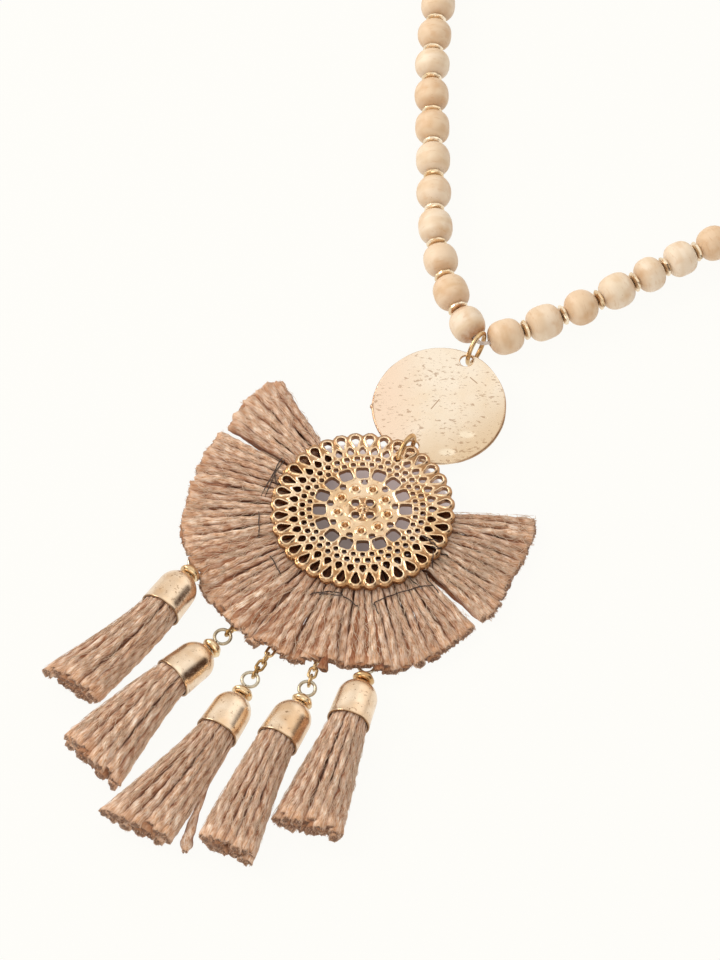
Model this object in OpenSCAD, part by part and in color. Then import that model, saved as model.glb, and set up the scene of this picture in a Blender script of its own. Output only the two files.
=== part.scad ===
/* [Beads] */
// Diameter of a bone bead
bead_d = 8; // [7.6:0.1:8.4]
// Radius that rounds the two shoulders of a bead
bead_round = 2.8; // [2:0.1:3.2]
// Number of bone beads on the loop
bead_count = 88; // [86:2:90]
// Diameter of the bore through a bead or a spacer
bore_d = 1.5; // [1.3:0.1:1.8]
// Diameter of a gold spacer
spacer_d = 4.8; // [4:0.1:5.4]
// Thickness of a gold spacer
spacer_t = 1.2; // [1.1:0.05:1.3]
// Clearance between a bead and the spacer beside it
bead_gap = 0.19; // [0.18:0.01:0.2]
// Diameter of the thread inside the beads
thread_d = 0.9; // [0.6:0.05:0.9]

/* [Loop] */
// Radius of the arc that closes the loop behind the neck
loop_r = 106; // [102:1:110]
// Length of bare thread on each side of the lowest point
bare_thread = 2.3; // [2.2:0.05:2.4]

/* [Jump rings] */
// Radius of a jump ring at the middle of its wire
ring_r = 3.8; // [3.75:0.05:3.85]
// Diameter of the wire of a jump ring
ring_wire = 1.06; // [0.9:0.02:1.06]

/* [Hammered disc] */
// Diameter of the hammered disc
disc_d = 29.7; // [29.5:0.1:30]
// Thickness of the hammered disc
disc_t = 1; // [0.8:0.1:1]
// Diameter of its two holes
disc_hole = 2.9; // [2.9:0.1:3.1]
// Slope at which the disc lies on its rings, in degrees
disc_tilt = 5.5; // [5.3:0.1:5.7]

/* [Filigree] */
// Outer diameter over the scallops of the filigree
filigree_d = 40.8; // [40:0.1:41.2]
// Thickness of the casting
filigree_t = 1.4; // [1.2:0.1:1.5]
// Number of drop-shaped holes along the rim
drops = 36; // [34:2:36]
// Number of large square holes
windows = 16; // [14:2:16]
// Number of raised dimples round the centre
dimples = 9; // [8:1:9]

/* [Jute fan] */
// Height of the head that carries the filigree
fan_h = 4.3; // [4:0.1:4.4]
// Inner radius of the sewn head
fan_r = 13; // [12.8:0.1:15.5]
// Thickness of the strands at the cut ends
fan_end = 2.6; // [2.2:0.1:3]
// Depth of the furrow between two locks
furrow = 0.6; // [0.3:0.1:0.8]

/* [Tassels] */
// Length of the jute below the cap, before the small differences between tassels
skirt_l = 26; // [24:1:28]
// Outer diameter of a cap at its rim
cap_d = 9.4; // [9:0.1:9.5]
// Length of a cap
cap_l = 11; // [10:0.5:11]
// Wall of a cap
cap_wall = 0.45; // [0.4:0.05:0.5]
// Diameter of the collar bead above a cap
collar_d = 4.8; // [4:0.1:4.8]
// Diameter of the wire of an eye pin
pin_wire = 0.76; // [0.7:0.02:0.8]
// Locks round a skirt
skirt_locks = 12; // [10:1:14]

/* [Chains] */
// Length of a chain link over its wire
link_l = 3.2; // [3.1:0.05:3.2]
// Width of a chain link over its wire
link_w = 2.1; // [2:0.05:2.1]
// Diameter of the wire of a chain link
link_wire = 0.5; // [0.45:0.01:0.5]

/* [Hidden] */
$fn = 48;

bone = "#EBCFAE";
gold = "#E2BE84";
pale_gold = "#F0D9B2";
steel_gold = "#B9A98B";
jute = "#BC9476";
thread_grey = "#C9BDB2";
eps = 0.01;

// The middle of the filigree, measured from the middle of the whole necklace
pendant_y = -141.6;
// Floor clearance of what lies on the floor
floor_gap = 0.12;

// Route of the loop from its lowest point, with the middle of the filigree at 0, 0.
// The closing arc is a circle about loop_y, from arc_from round the back.
thread_z = bead_d / 2;
low_point = [0.2, 52];
right_route = [[7.2, 61], [17.5, 76.5], [26, 92], [37, 111], [49, 134], [61, 157], [73, 180], [85, 202]];
left_route = [[-5, 55.3], [-12.5, 61.1], [-19.3, 68.1], [-24.7, 75.4], [-31, 86], [-40.5, 102], [-49.5, 118],
    [-59, 139], [-68.5, 160], [-78, 181], [-87.5, 202.5]];
loop_y = 267;
arc_from = -24;
arc_steps = 14;
// Lengths of the beads that lie nearest the pendant, from the lowest point outwards
right_lengths = [8, 8, 7.6, 8, 6.6, 6.9, 7.8, 7.5];
left_lengths = [8, 7.9, 7.6, 8.2, 8, 7.8, 7.5, 8, 7, 7.3, 7.4, 7.8];

function reversed(list) = [for (i = [len(list) - 1 : -1 : 0]) list[i]];
function sum(list, upto) = upto <= 0 ? 0 : list[upto - 1] + sum(list, upto - 1);
function heading(a, b) = atan2(b[1] - a[1], b[0] - a[0]);

// A smooth curve through the control points, then its points by length along it
function arc_points() = [for (i = [0 : arc_steps]) let (a = arc_from + i * (180 - 2 * arc_from) / arc_steps)
    [loop_r * cos(a), loop_y + loop_r * sin(a)]];
controls = concat([low_point], right_route, arc_points(), reversed(left_route), [low_point]);
last = len(controls) - 1;
function control(i) = i < 0 ? 2 * controls[0] - controls[1]
    : i > last ? 2 * controls[last] - controls[last - 1] : controls[i];
function blend(a, b, c, d, t) = (2 * b + t * (c - a) + t * t * (2 * a - 5 * b + 4 * c - d)
    + t * t * t * (3 * b - a - 3 * c + d)) / 2;
fine = 6;
curve = concat([for (i = [0 : last - 1]) for (k = [0 : fine - 1])
    blend(control(i - 1), control(i), control(i + 1), control(i + 2), k / fine)], [controls[last]]);
steps = [for (i = [1 : len(curve) - 1]) norm(curve[i] - curve[i - 1])];
lengths = [for (i = 0, s = 0; i < len(curve); s = s + (i < len(steps) ? steps[i] : 0), i = i + 1) s];
route_length = lengths[len(curve) - 1];
route_x = [for (i = [0 : len(curve) - 1]) [lengths[i], curve[i][0]]];
route_y = [for (i = [0 : len(curve) - 1]) [lengths[i], curve[i][1]]];
function at(s) = [lookup(s, route_x), lookup(s, route_y)];

// Bead lengths in order from the lowest point up the right side and down the left:
// the ones near the pendant from the lists, the others alike but for a small ripple
ripple = 0.25;
seen_right = len(right_lengths);
seen_left = len(left_lengths);
spacing = spacer_t + 2 * bead_gap;
hidden_count = bead_count - seen_right - seen_left;
hidden_mean = (route_length - 2 * bare_thread - (bead_count - 1) * spacing
    - sum(right_lengths, seen_right) - sum(left_lengths, seen_left)) / hidden_count;
bead_lengths = [for (i = [0 : bead_count - 1])
    i < seen_right ? right_lengths[i]
    : i >= bead_count - seen_left ? left_lengths[bead_count - 1 - i]
    : hidden_mean + ripple * (i % 2 == (seen_right % 2) ? 1 : -1) * cos(37 * floor(i / 2))];
starts = [for (i = 0, s = bare_thread; i < bead_count; s = s + bead_lengths[i] + spacing, i = i + 1) s];
// Joints between beads, at the middle of each spacer, and one at each end of the bare thread
joints = concat([for (s = starts) at(s - spacing / 2)], [at(route_length - bare_thread + spacing / 2)]);
half_count = floor(bead_count / 2);

// Rings and disc, on the line x = 0
pendant_ring_at = [0, 50.5, ring_r + ring_wire / 2 + floor_gap];
link_ring_at = [0, 18.6, ring_r + ring_wire / 2 + floor_gap];
disc_at = [0.2, 33.4, 3.55];
disc_upper_hole = 12.8;
disc_lower_hole = 12;
disc_edge = 0.3;

// Filigree: height of its underside, and the radii and sizes of its rows of holes
rim_z = 4.55;
scallop_r = 1.9;
drop_at = 18;
drop_r = 1.2;
drop_tip = 2.8;
second_at = 15.1;
second_r = 1.02;
second_tip = 1.55;
window_at = 9.45;
window_w = 2.7;
window_turn = 7.5;
corner = 0.5;
leaf_at = 6.9;
leaf_r = 0.62;
dimple_at = 5.35;
dimple_r = 0.9;
petal_at = 2.05;
petal_r = 1.25;
petal_hole = 0.7;
petal_turn = 75;
boss_r = 0.6;
relief = 0.35;

// Fan: angles are measured from the side that points away from the loop.
// Columns: angle, outer radius
fan_outline = [[-124, 41], [-117, 42.3], [-110, 41], [-104, 39.8], [-99, 38.8], [-96, 39.3], [-83, 39.4],
    [-70, 39], [-57, 39.6], [-50, 39.3], [-46, 38.2], [-42, 38.1], [-38, 38.6], [-34, 39.7], [-30, 40.3],
    [-24, 39.2], [-21, 38.8], [-17, 40.2], [-11, 40.5], [-3, 39.9], [5, 40.1], [10, 40], [12, 38.6],
    [19, 37.7], [26, 38.6], [31, 37.2], [36, 39], [43, 39.5], [50, 38.8], [60, 37.7], [71, 36.7],
    [74, 36.5], [78, 37.5], [86, 36.6], [97, 36.2], [104, 36.7], [110, 37], [113, 38.2], [121, 38]];
// Columns: first angle, last angle, number of locks
bundles = [[-124, -98.2, 6], [-96.8, 71.6, 38], [73.4, 120.5, 10]];
// Columns: angle of the slit, radius where it starts
slits = [[-97.5, 33], [72.5, 25]];
// Radii of the rings of points, of which the last is the outline itself
fan_radii = [fan_r, 19, 22.2, 23.2, 28, 33.5, 100];
tunnel_from = 23.2;
tunnel_half = 4.4;
tunnel_slope = 2.2;
over_tunnel = 1.45;
strand_ripple = 0.35;

// Tassels: place of the eye as angle and radius about the filigree's middle, direction of the
// cap, sideways bend of the skirt, half width of its cut end and how much longer it is
tassels = [[-43, 38.2, -1, -13.5, 7.5, -1.5], [-15.3, 43.1, -8.5, -3.5, 9, -0.5],
    [-0.8, 47.9, 6, -12.5, 9.4, 1], [14.3, 45.1, 6, 2, 6.9, 0.5], [31, 37.6, 17, -7, 8, 0]];
eye_r = 1.72;
cap_tilt = 15;
collar_from = 2.9;
collar_l = 2;
cap_from = 5;
cap_dome = 4.1;
rim_at = cap_from + cap_l;
// A cap lies on the shoulder of its dome, with its eye low and its rim raised
eye_z = cap_dome + floor_gap - (cap_from + cap_dome) * sin(cap_tilt);
cap_rim_z = eye_z + rim_at * sin(cap_tilt);
pin_end = 7;
pin_head = 0.7;
pin_bore = pin_wire + 0.18;
skirt_fit = 0.22;
skirt_end_h = 3.2;

// Chains: links of one chain stand and lie in turn
link_gap = 0.11;
tunnel_z = eye_z + link_w / 2 - 0.1;
link_pitch = link_l - 2 * link_wire - link_gap;
chain_from = 25.2;

module placed() {
    translate([0, pendant_y, 0]) children();
}

module round_profile(length) {
    flat = bead_d / 2 - bead_round;
    translate([0, -length / 2]) square([flat, length]);
    translate([0, -length / 2 + bead_round]) square([bead_d / 2, length - 2 * bead_round]);
    for (side = [0, 1]) mirror([0, side]) intersection() {
        translate([flat, length / 2 - bead_round]) circle(r = bead_round);
        square([bead_d, length]);
    }
}

module bead(length) {
    rotate([0, 90, 0]) difference() {
        rotate_extrude() round_profile(length);
        cylinder(h = length + 1, d = bore_d, center = true);
    }
}

module spacer() {
    rotate([0, 90, 0]) difference() {
        cylinder(h = spacer_t, d = spacer_d, center = true);
        cylinder(h = spacer_t + 1, d = bore_d, center = true);
    }
}

module beads(from, to) {
    color(bone) placed() for (i = [from : to]) {
        middle = (joints[i] + joints[i + 1]) / 2;
        translate([middle[0], middle[1], thread_z]) rotate([0, 0, heading(joints[i], joints[i + 1])])
            bead(bead_lengths[i]);
    }
}

module spacers(from, to) {
    color(gold) placed() for (i = [from : to])
        translate([joints[i][0], joints[i][1], thread_z])
            rotate([0, 0, heading(joints[i - 1], joints[i + 1])]) spacer();
}

// One closed tube through the joints, its rings set square to the bisector at each
module thread() {
    sides = 8;
    n = len(joints);
    rings = [for (i = [0 : n - 1])
        let (a = joints[(i + n - 1) % n], b = joints[(i + 1) % n], h = heading(a, b))
        [for (k = [0 : sides - 1]) let (t = k * 360 / sides)
            [joints[i][0] - sin(h) * cos(t) * thread_d / 2, joints[i][1] + cos(h) * cos(t) * thread_d / 2,
                thread_z + sin(t) * thread_d / 2]]];
    points = [for (ring = rings) each ring];
    faces = [for (i = [0 : n - 1]) for (k = [0 : sides - 1])
        [i * sides + k, i * sides + (k + 1) % sides, ((i + 1) % n) * sides + (k + 1) % sides,
            ((i + 1) % n) * sides + k]];
    color(thread_grey) placed() polyhedron(points, faces, convexity = 10);
}

// A closed ring of round wire that stands in the plane x = 0
module jump_ring() {
    rotate([0, 90, 0]) rotate_extrude() translate([ring_r, 0]) circle(d = ring_wire, $fn = 24);
}

module pendant_ring() {
    color(gold) placed() translate(pendant_ring_at) jump_ring();
}

module link_ring() {
    color(gold) placed() translate(link_ring_at) jump_ring();
}

module hammered_disc() {
    color(pale_gold) placed() translate(disc_at) rotate([disc_tilt, 0, 0]) difference() {
        rotate_extrude($fn = 96) {
            translate([0, -disc_t / 2]) square([disc_d / 2 - disc_edge, disc_t]);
            translate([0, disc_edge - disc_t / 2]) square([disc_d / 2, disc_t - 2 * disc_edge]);
            for (side = [-1, 1]) translate([disc_d / 2 - disc_edge, side * (disc_t / 2 - disc_edge)])
                circle(r = disc_edge, $fn = 24);
        }
        for (y = [disc_upper_hole, -disc_lower_hole])
            translate([-disc_at[0], y, 0]) cylinder(h = disc_t + 1, d = disc_hole, center = true);
    }
}

// A hole with one round end and a point towards -y
module drop_hole(r, tip) {
    circle(r = r, $fn = 32);
    polygon([[-r * 0.9, -r * 0.43], [r * 0.9, -r * 0.43], [0.2, -tip], [-0.2, -tip]]);
}

module window_hole() {
    square([window_w, window_w - 2 * corner], center = true);
    square([window_w - 2 * corner, window_w], center = true);
    for (x = [-1, 1], y = [-1, 1]) translate([x, y] * (window_w / 2 - corner)) circle(r = corner, $fn = 16);
}

module filigree_plan() {
    difference() {
        union() {
            circle(r = filigree_d / 2 - scallop_r / 2, $fn = 96);
            for (i = [0 : drops - 1]) rotate((i + 0.5) * 360 / drops)
                translate([0, filigree_d / 2 - scallop_r]) circle(r = scallop_r, $fn = 32);
        }
        for (i = [0 : drops - 1]) {
            rotate((i + 0.5) * 360 / drops) translate([0, drop_at]) drop_hole(drop_r, drop_tip);
            rotate(i * 360 / drops) translate([0, second_at]) mirror([0, 1]) drop_hole(second_r, second_tip);
        }
        for (i = [0 : windows - 1]) rotate(i * 360 / windows + window_turn)
            translate([0, window_at]) window_hole();
        for (i = [0 : dimples - 1]) rotate((i + 0.5) * 360 / dimples)
            translate([0, leaf_at]) circle(r = leaf_r, $fn = 24);
    }
}

module filigree_disc() {
    top = rim_z + filigree_t;
    color(gold) placed() difference() {
        union() {
            translate([0, 0, rim_z]) linear_extrude(filigree_t) filigree_plan();
            for (i = [0 : dimples - 1]) rotate(i * 360 / dimples) translate([0, dimple_at, top - relief])
                cylinder(h = 2 * relief, r = dimple_r, $fn = 24);
            for (i = [0 : 3]) rotate(petal_turn + i * 90) translate([0, petal_at, top - relief])
                cylinder(h = 2.5 * relief, r = petal_r, $fn = 32);
            translate([0, 0, top - relief]) cylinder(h = 3 * relief, r = boss_r);
        }
        for (i = [0 : dimples - 1]) rotate(i * 360 / dimples) translate([0, dimple_at, top - relief])
            cylinder(h = 3 * relief, r1 = 0.1, r2 = dimple_r, $fn = 24);
        for (i = [0 : 3]) rotate(petal_turn + i * 90) translate([0, petal_at, rim_z - 1])
            cylinder(h = filigree_t + 3, r = petal_hole, $fn = 24);
    }
}

function polar(a, r, z) = [r * sin(a), -r * cos(a), z];
function off_tunnel(a) = min([for (t = tassels) abs(a - t[0])]);
function outer_radius(a, lock) = lookup(a, fan_outline) + strand_ripple * sin(lock * 137);

// One closed skin over columns of points, each column a ring of top and bottom points.
// Columns: angle, outer radius, and 1 on the back of a lock or 0 in a furrow
fan_columns = concat(
    [for (k = [0 : 2]) each concat(
        [for (i = [0 : bundles[k][2] - 1]) for (part = [0, 0.3, 0.7])
            let (a = bundles[k][0] + (i + part) * (bundles[k][1] - bundles[k][0]) / bundles[k][2])
            [a, outer_radius(a, i), part > 0 ? 1 : 0]],
        [[bundles[k][1], outer_radius(bundles[k][1], bundles[k][2]), 0]],
        k < 2 ? [[slits[k][0], slits[k][1], 0]] : [])]);
rings_of_fan = len(fan_radii);
function fan_radius(column, k) = min(fan_radii[k], column[1] - 0.4 * (rings_of_fan - 1 - k));
function fan_top(column, r) = let (
    base = lookup(r, [[fan_r, fan_h], [21, fan_h], [28, fan_h - 0.5], [39, fan_end]]),
    near = max(0, 1 - pow(off_tunnel(column[0]) / (tunnel_half + 2 * tunnel_slope), 2)),
    lifted = base + near * max(0, tunnel_z + over_tunnel - base))
    lifted - (1 - column[2]) * furrow * min(1, (r - fan_r) / 8);
function fan_bottom(column, r) = r < tunnel_from - eps ? floor_gap
    : lookup(off_tunnel(column[0]), [[tunnel_half, tunnel_z], [tunnel_half + tunnel_slope, floor_gap]]);

module jute_fan() {
    n = len(fan_columns);
    m = rings_of_fan;
    points = [for (c = fan_columns) each concat(
        [for (k = [0 : m - 1]) let (r = fan_radius(c, k)) polar(c[0], r, fan_top(c, r))],
        [for (k = [0 : m - 1]) let (r = fan_radius(c, k)) polar(c[0], r, fan_bottom(c, r))])];
    function top_at(i, k) = i * 2 * m + k;
    function bottom_at(i, k) = i * 2 * m + m + k;
    skin = [for (i = [0 : n - 2]) for (k = [0 : m - 2]) each [
        [top_at(i, k), top_at(i, k + 1), top_at(i + 1, k + 1)],
        [top_at(i, k), top_at(i + 1, k + 1), top_at(i + 1, k)],
        [bottom_at(i, k), bottom_at(i + 1, k + 1), bottom_at(i, k + 1)],
        [bottom_at(i, k), bottom_at(i + 1, k), bottom_at(i + 1, k + 1)]]];
    edges = [for (i = [0 : n - 2]) each [
        [top_at(i, m - 1), bottom_at(i, m - 1), bottom_at(i + 1, m - 1)],
        [top_at(i, m - 1), bottom_at(i + 1, m - 1), top_at(i + 1, m - 1)],
        [top_at(i, 0), bottom_at(i + 1, 0), bottom_at(i, 0)],
        [top_at(i, 0), top_at(i + 1, 0), bottom_at(i + 1, 0)]]];
    ends = [for (k = [0 : m - 2]) each [
        [top_at(0, k), bottom_at(0, k + 1), top_at(0, k + 1)],
        [top_at(0, k), bottom_at(0, k), bottom_at(0, k + 1)],
        [top_at(n - 1, k), top_at(n - 1, k + 1), bottom_at(n - 1, k + 1)],
        [top_at(n - 1, k), bottom_at(n - 1, k + 1), bottom_at(n - 1, k)]]];
    color(jute) placed() polyhedron(points, concat(skin, edges, ends), convexity = 10);
}

// Frame of one tassel: the eye at the origin and the cap along +x, rising to rest on its rim
module tassel_frame(t) {
    placed() translate(polar(t[0], t[1], eye_z)) rotate([0, 0, t[2] - 90]) rotate([0, -cap_tilt, 0])
        children();
}

module eye_pin(t) {
    color(steel_gold) tassel_frame(t) {
        rotate_extrude() translate([eye_r, 0]) circle(d = pin_wire, $fn = 24);
        translate([eye_r, 0, 0]) rotate([0, 90, 0])
            cylinder(h = pin_end - eye_r, d = pin_wire - 0.04, $fn = 24);
        translate([pin_end, 0, 0]) sphere(r = pin_head, $fn = 24);
    }
}

module collar(t) {
    color(gold) tassel_frame(t) translate([collar_from, 0, 0]) rotate([0, 90, 0]) difference() {
        union() {
            cylinder(h = collar_l * 0.6, d1 = collar_d * 0.72, d2 = collar_d);
            translate([0, 0, collar_l * 0.6])
                cylinder(h = collar_l * 0.4, d1 = collar_d, d2 = collar_d * 0.85);
        }
        translate([0, 0, -1]) cylinder(h = collar_l + 2, d = pin_bore);
    }
}

// Half outline of the cap, grown inwards by a wall: the axis is y, the open rim at cap_l
module cap_profile(wall) {
    r = cap_dome - wall;
    intersection() {
        translate([0, cap_dome]) circle(r = r, $fn = 64);
        square([cap_d, cap_dome]);
    }
    polygon([[0, cap_dome - eps], [r, cap_dome - eps], [cap_d / 2 - wall, cap_l + (wall > 0 ? 1 : 0)],
        [0, cap_l + (wall > 0 ? 1 : 0)]]);
}

module cap(t) {
    color(pale_gold) tassel_frame(t) translate([cap_from, 0, 0]) rotate([0, 90, 0]) difference() {
        rotate_extrude($fn = 64) difference() {
            cap_profile(0);
            cap_profile(cap_wall);
        }
        translate([0, 0, -1]) cylinder(h = 4, d = pin_bore);
    }
}

// Sections of a skirt: place along the axis, half width, half height, depth of its furrows,
// sideways shift, drop and length of the cut end
function skirt_section(t, u) = let (
    inside = u < 0,
    long = skirt_l + t[5],
    cap_inner = lookup(cap_l + u * long, [[0, 2], [cap_dome, cap_dome - cap_wall],
        [cap_l, cap_d / 2 - cap_wall]]) - skirt_fit,
    full = cap_d / 2 - cap_wall - skirt_fit,
    v = max(0, u))
    [rim_at + u * long,
        inside ? cap_inner : full + (t[4] - full) * v,
        inside ? cap_inner : full + (skirt_end_h - full) * v,
        inside ? 0.05 : 0.1 + 0.6 * v,
        long * tan(t[3]) * pow(v, 1.3),
        -(long * sin(cap_tilt) + cap_rim_z - skirt_end_h - floor_gap) / cos(cap_tilt) * pow(v, 1.12),
        u >= 1 ? 0.8 : 0];

skirt_steps = [-0.28, -0.12, 0, 0.14, 0.32, 0.54, 0.78, 1];

module skirt(t, seed) {
    per_lock = 3;
    n = skirt_locks * per_lock;
    sections = [for (u = skirt_steps) skirt_section(t, u)];
    rings = [for (s = sections) [for (k = [0 : n - 1]) let (
        a = k * 360 / n,
        lock = floor(k / per_lock),
        in = k % per_lock == 0 ? s[3] : 0)
        [s[0] + s[6] * sin(lock * 97 + seed * 50),
            (s[1] - in) * cos(a) + s[4], (s[2] - in) * sin(a) + s[5]]]];
    m = len(rings);
    middles = [[sections[0][0], sections[0][4], sections[0][5]],
        [sections[m - 1][0] - 0.8, sections[m - 1][4], sections[m - 1][5]]];
    points = concat([for (ring = rings) each ring], middles);
    faces = concat(
        [for (i = [0 : m - 2]) for (k = [0 : n - 1]) let (j = (k + 1) % n) each [
            [i * n + k, (i + 1) * n + j, i * n + j],
            [i * n + k, (i + 1) * n + k, (i + 1) * n + j]]],
        [for (k = [0 : n - 1]) [m * n, k, (k + 1) % n]],
        [for (k = [0 : n - 1]) [m * n + 1, (m - 1) * n + (k + 1) % n, (m - 1) * n + k]]);
    color(jute) tassel_frame(t) polyhedron(points, faces, convexity = 10);
}

// An oval link that lies flat, long way along y
module link() {
    bend = (link_w - link_wire) / 2;
    straight = link_l - link_w;
    for (side = [0, 1]) rotate([0, 0, side * 180]) {
        translate([0, straight / 2, 0]) rotate_extrude(angle = 180)
            translate([bend, 0]) circle(d = link_wire, $fn = 24);
        translate([bend, 0, 0]) rotate([90, 0, 0])
            cylinder(h = straight, d = link_wire, center = true, $fn = 24);
    }
}

// From the link that hangs in the eye inwards to the one caught in the fan's stitches.
// The eye slopes with its cap, so its wire lies lower and nearer where the chain leaves it
module chain(t) {
    turn = cos(t[2] - t[0]);
    reach = eye_r * (1 - (1 - cos(cap_tilt)) * turn * turn) - pin_wire / 2 - link_gap;
    first = t[1] - reach - link_l / 2 + link_wire;
    count = floor((first - chain_from) / link_pitch) + 1;
    color(gold) placed() for (i = [0 : count - 1])
        translate(polar(t[0], first - i * link_pitch, eye_z - eye_r * sin(cap_tilt) * turn))
            rotate([0, 0, t[0]]) rotate([0, i % 2 == 0 ? 90 : 0, 0]) link();
}

beads(0, half_count - 1);  // beads_right
beads(half_count, bead_count - 1);  // beads_left
spacers(1, half_count);  // spacers_right
spacers(half_count + 1, bead_count - 1);  // spacers_left
thread();
pendant_ring();
hammered_disc();
link_ring();
filigree_disc();
jute_fan();
for (i = [0 : 4]) {
    skirt(tassels[i], i);
    cap(tassels[i]);
    collar(tassels[i]);
    eye_pin(tassels[i]);
    chain(tassels[i]);
}
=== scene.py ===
import math
import random
from bisect import bisect_right
from functools import partial

import bmesh
import bpy
from mathutils import Matrix, Vector, noise


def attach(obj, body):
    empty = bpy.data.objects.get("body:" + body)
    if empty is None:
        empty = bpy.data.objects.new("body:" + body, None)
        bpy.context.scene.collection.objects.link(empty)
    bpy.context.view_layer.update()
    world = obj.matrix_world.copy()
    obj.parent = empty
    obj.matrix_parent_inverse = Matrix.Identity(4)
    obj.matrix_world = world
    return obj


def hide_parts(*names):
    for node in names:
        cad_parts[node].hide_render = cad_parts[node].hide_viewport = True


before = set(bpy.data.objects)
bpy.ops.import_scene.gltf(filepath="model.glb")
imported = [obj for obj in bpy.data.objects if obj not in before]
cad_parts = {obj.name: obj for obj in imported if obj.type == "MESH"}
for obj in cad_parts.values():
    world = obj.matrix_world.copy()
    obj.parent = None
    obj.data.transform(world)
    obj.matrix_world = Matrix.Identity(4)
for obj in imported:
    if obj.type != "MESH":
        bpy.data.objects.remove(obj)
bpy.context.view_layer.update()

mm = 0.001  # everything below is built in millimetres and scaled once, when a piece is finished


def toLinear(hexCode):  # sRGB hex to linear colour
    parts = [int(hexCode[i:i + 2], 16) / 255 for i in (1, 3, 5)]
    return tuple(c / 12.92 if c <= 0.04045 else ((c + 0.055) / 1.055) ** 2.4 for c in parts) + (1.0,)


def setInputs(tree, node, values):  # each value is a number, a vector, a hex colour or an output
    for name, value in values.items():
        socket = node.inputs[name]
        if isinstance(value, bpy.types.NodeSocket):
            tree.links.new(value, socket)
        else:
            socket.default_value = toLinear(value) if isinstance(value, str) else value


def addNode(tree, kind, settings=None, values=None, ramp=None, out=0):  # a node, and the output asked for
    node = tree.nodes.new("ShaderNode" + kind)
    for name, value in (settings or {}).items():
        setattr(node, name, value)
    setInputs(tree, node, values or {})
    if ramp:
        stops = node.color_ramp.elements
        while len(stops) < len(ramp):
            stops.new(0.5)
        for stop, (position, colour) in zip(stops, ramp):
            stop.position, stop.color = position, toLinear(colour)
    return node.outputs[out] if len(node.outputs) else node


def between(value, table):  # straight lines through a table of pairs
    if value <= table[0][0]:
        return table[0][1]
    for (a, fa), (b, fb) in zip(table, table[1:]):
        if value <= b:
            return fa + (fb - fa) * (value - a) / (b - a)
    return table[-1][1]


def ease(value):
    value = min(1.0, max(0.0, value))
    return value * value * (3 - 2 * value)


def spread(rng, share):  # a factor near one
    return 1 + rng.uniform(-share, share)


def finishPiece(name, shape, material, nodes, attributes=None, smooth=True):
    if isinstance(shape, bmesh.types.BMesh):
        mesh = bpy.data.meshes.new(name)
        shape.to_mesh(mesh)
        shape.free()
    else:
        mesh = shape
        mesh.name = name
    mesh.transform(Matrix.Scale(mm, 4))
    mesh.materials.clear()
    mesh.materials.append(material)
    mesh.shade_smooth() if smooth else mesh.shade_flat()
    for key, values in (attributes or {}).items():
        isVector = not isinstance(values[0], float)
        layer = mesh.attributes.new(key, "FLOAT_VECTOR" if isVector else "FLOAT", "POINT")
        flat = [c for v in values for c in v] if isVector else values
        layer.data.foreach_set("vector" if isVector else "value", flat)
    piece = bpy.data.objects.new(name, mesh)
    bpy.context.scene.collection.objects.link(piece)
    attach(piece, "root")
    if nodes:
        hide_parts(*nodes)


def evaluatedMesh(data, prepare=None):  # a curve or mesh with its modifiers, as a plain mesh
    helper = bpy.data.objects.new("helper", data)
    bpy.context.scene.collection.objects.link(helper)
    if prepare:
        prepare(helper)
    graph = bpy.context.evaluated_depsgraph_get()
    mesh = bpy.data.meshes.new_from_object(helper.evaluated_get(graph))
    bpy.data.objects.remove(helper)
    return mesh


def outlineCurve(name, paths, closed, settings):  # a curve with one straight-sided line for each path
    curve = bpy.data.curves.new(name, "CURVE")
    for key, value in settings.items():
        setattr(curve, key, value)
    for path in paths:
        spline = curve.splines.new("POLY")
        spline.points.add(len(path) - 1)
        for point, place in zip(spline.points, path):
            point.co = (*place, 1) if len(place) == 3 else (*place, 0, 1)
        spline.use_cyclic_u = closed
    return evaluatedMesh(curve)


def wireLoops(paths, radius, closed=True, steps=2):  # round wire along each path
    return outlineCurve("wire", paths, closed, {
        "dimensions": "3D", "fill_mode": "FULL", "bevel_depth": radius, "bevel_resolution": steps,
        "use_fill_caps": not closed})


def spinProfile(profile, steps):  # a profile of (x, r), with x along the axis and r from it
    bm = bmesh.new()
    verts = [bm.verts.new((x, r, 0)) for x, r in profile]
    edges = [bm.edges.new(pair) for pair in zip(verts, verts[1:] + verts[:1])]
    bmesh.ops.spin(bm, geom=verts + edges, cent=(0, 0, 0), axis=(1, 0, 0), angle=math.tau,
                   steps=steps, use_merge=True)
    bmesh.ops.remove_doubles(bm, verts=bm.verts, dist=1e-4)
    bmesh.ops.recalc_face_normals(bm, faces=bm.faces)
    return bm


def addTo(target, shape):  # joins a mesh or a bmesh into the target, and returns the new vertices
    start = len(target.verts)
    mesh = shape
    if isinstance(shape, bmesh.types.BMesh):
        mesh = bpy.data.meshes.new("part")
        shape.to_mesh(mesh)
        shape.free()
    target.from_mesh(mesh)
    if mesh is not shape:
        bpy.data.meshes.remove(mesh)
    target.verts.ensure_lookup_table()
    return target.verts[start:]


shot = {
    "target": (-6.40, -132.15, 0), "distance": 1100, "elevation": 57, "azimuth": 30,
    "verticalView": 11.066, "clipStart": 0.05,
}


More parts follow.
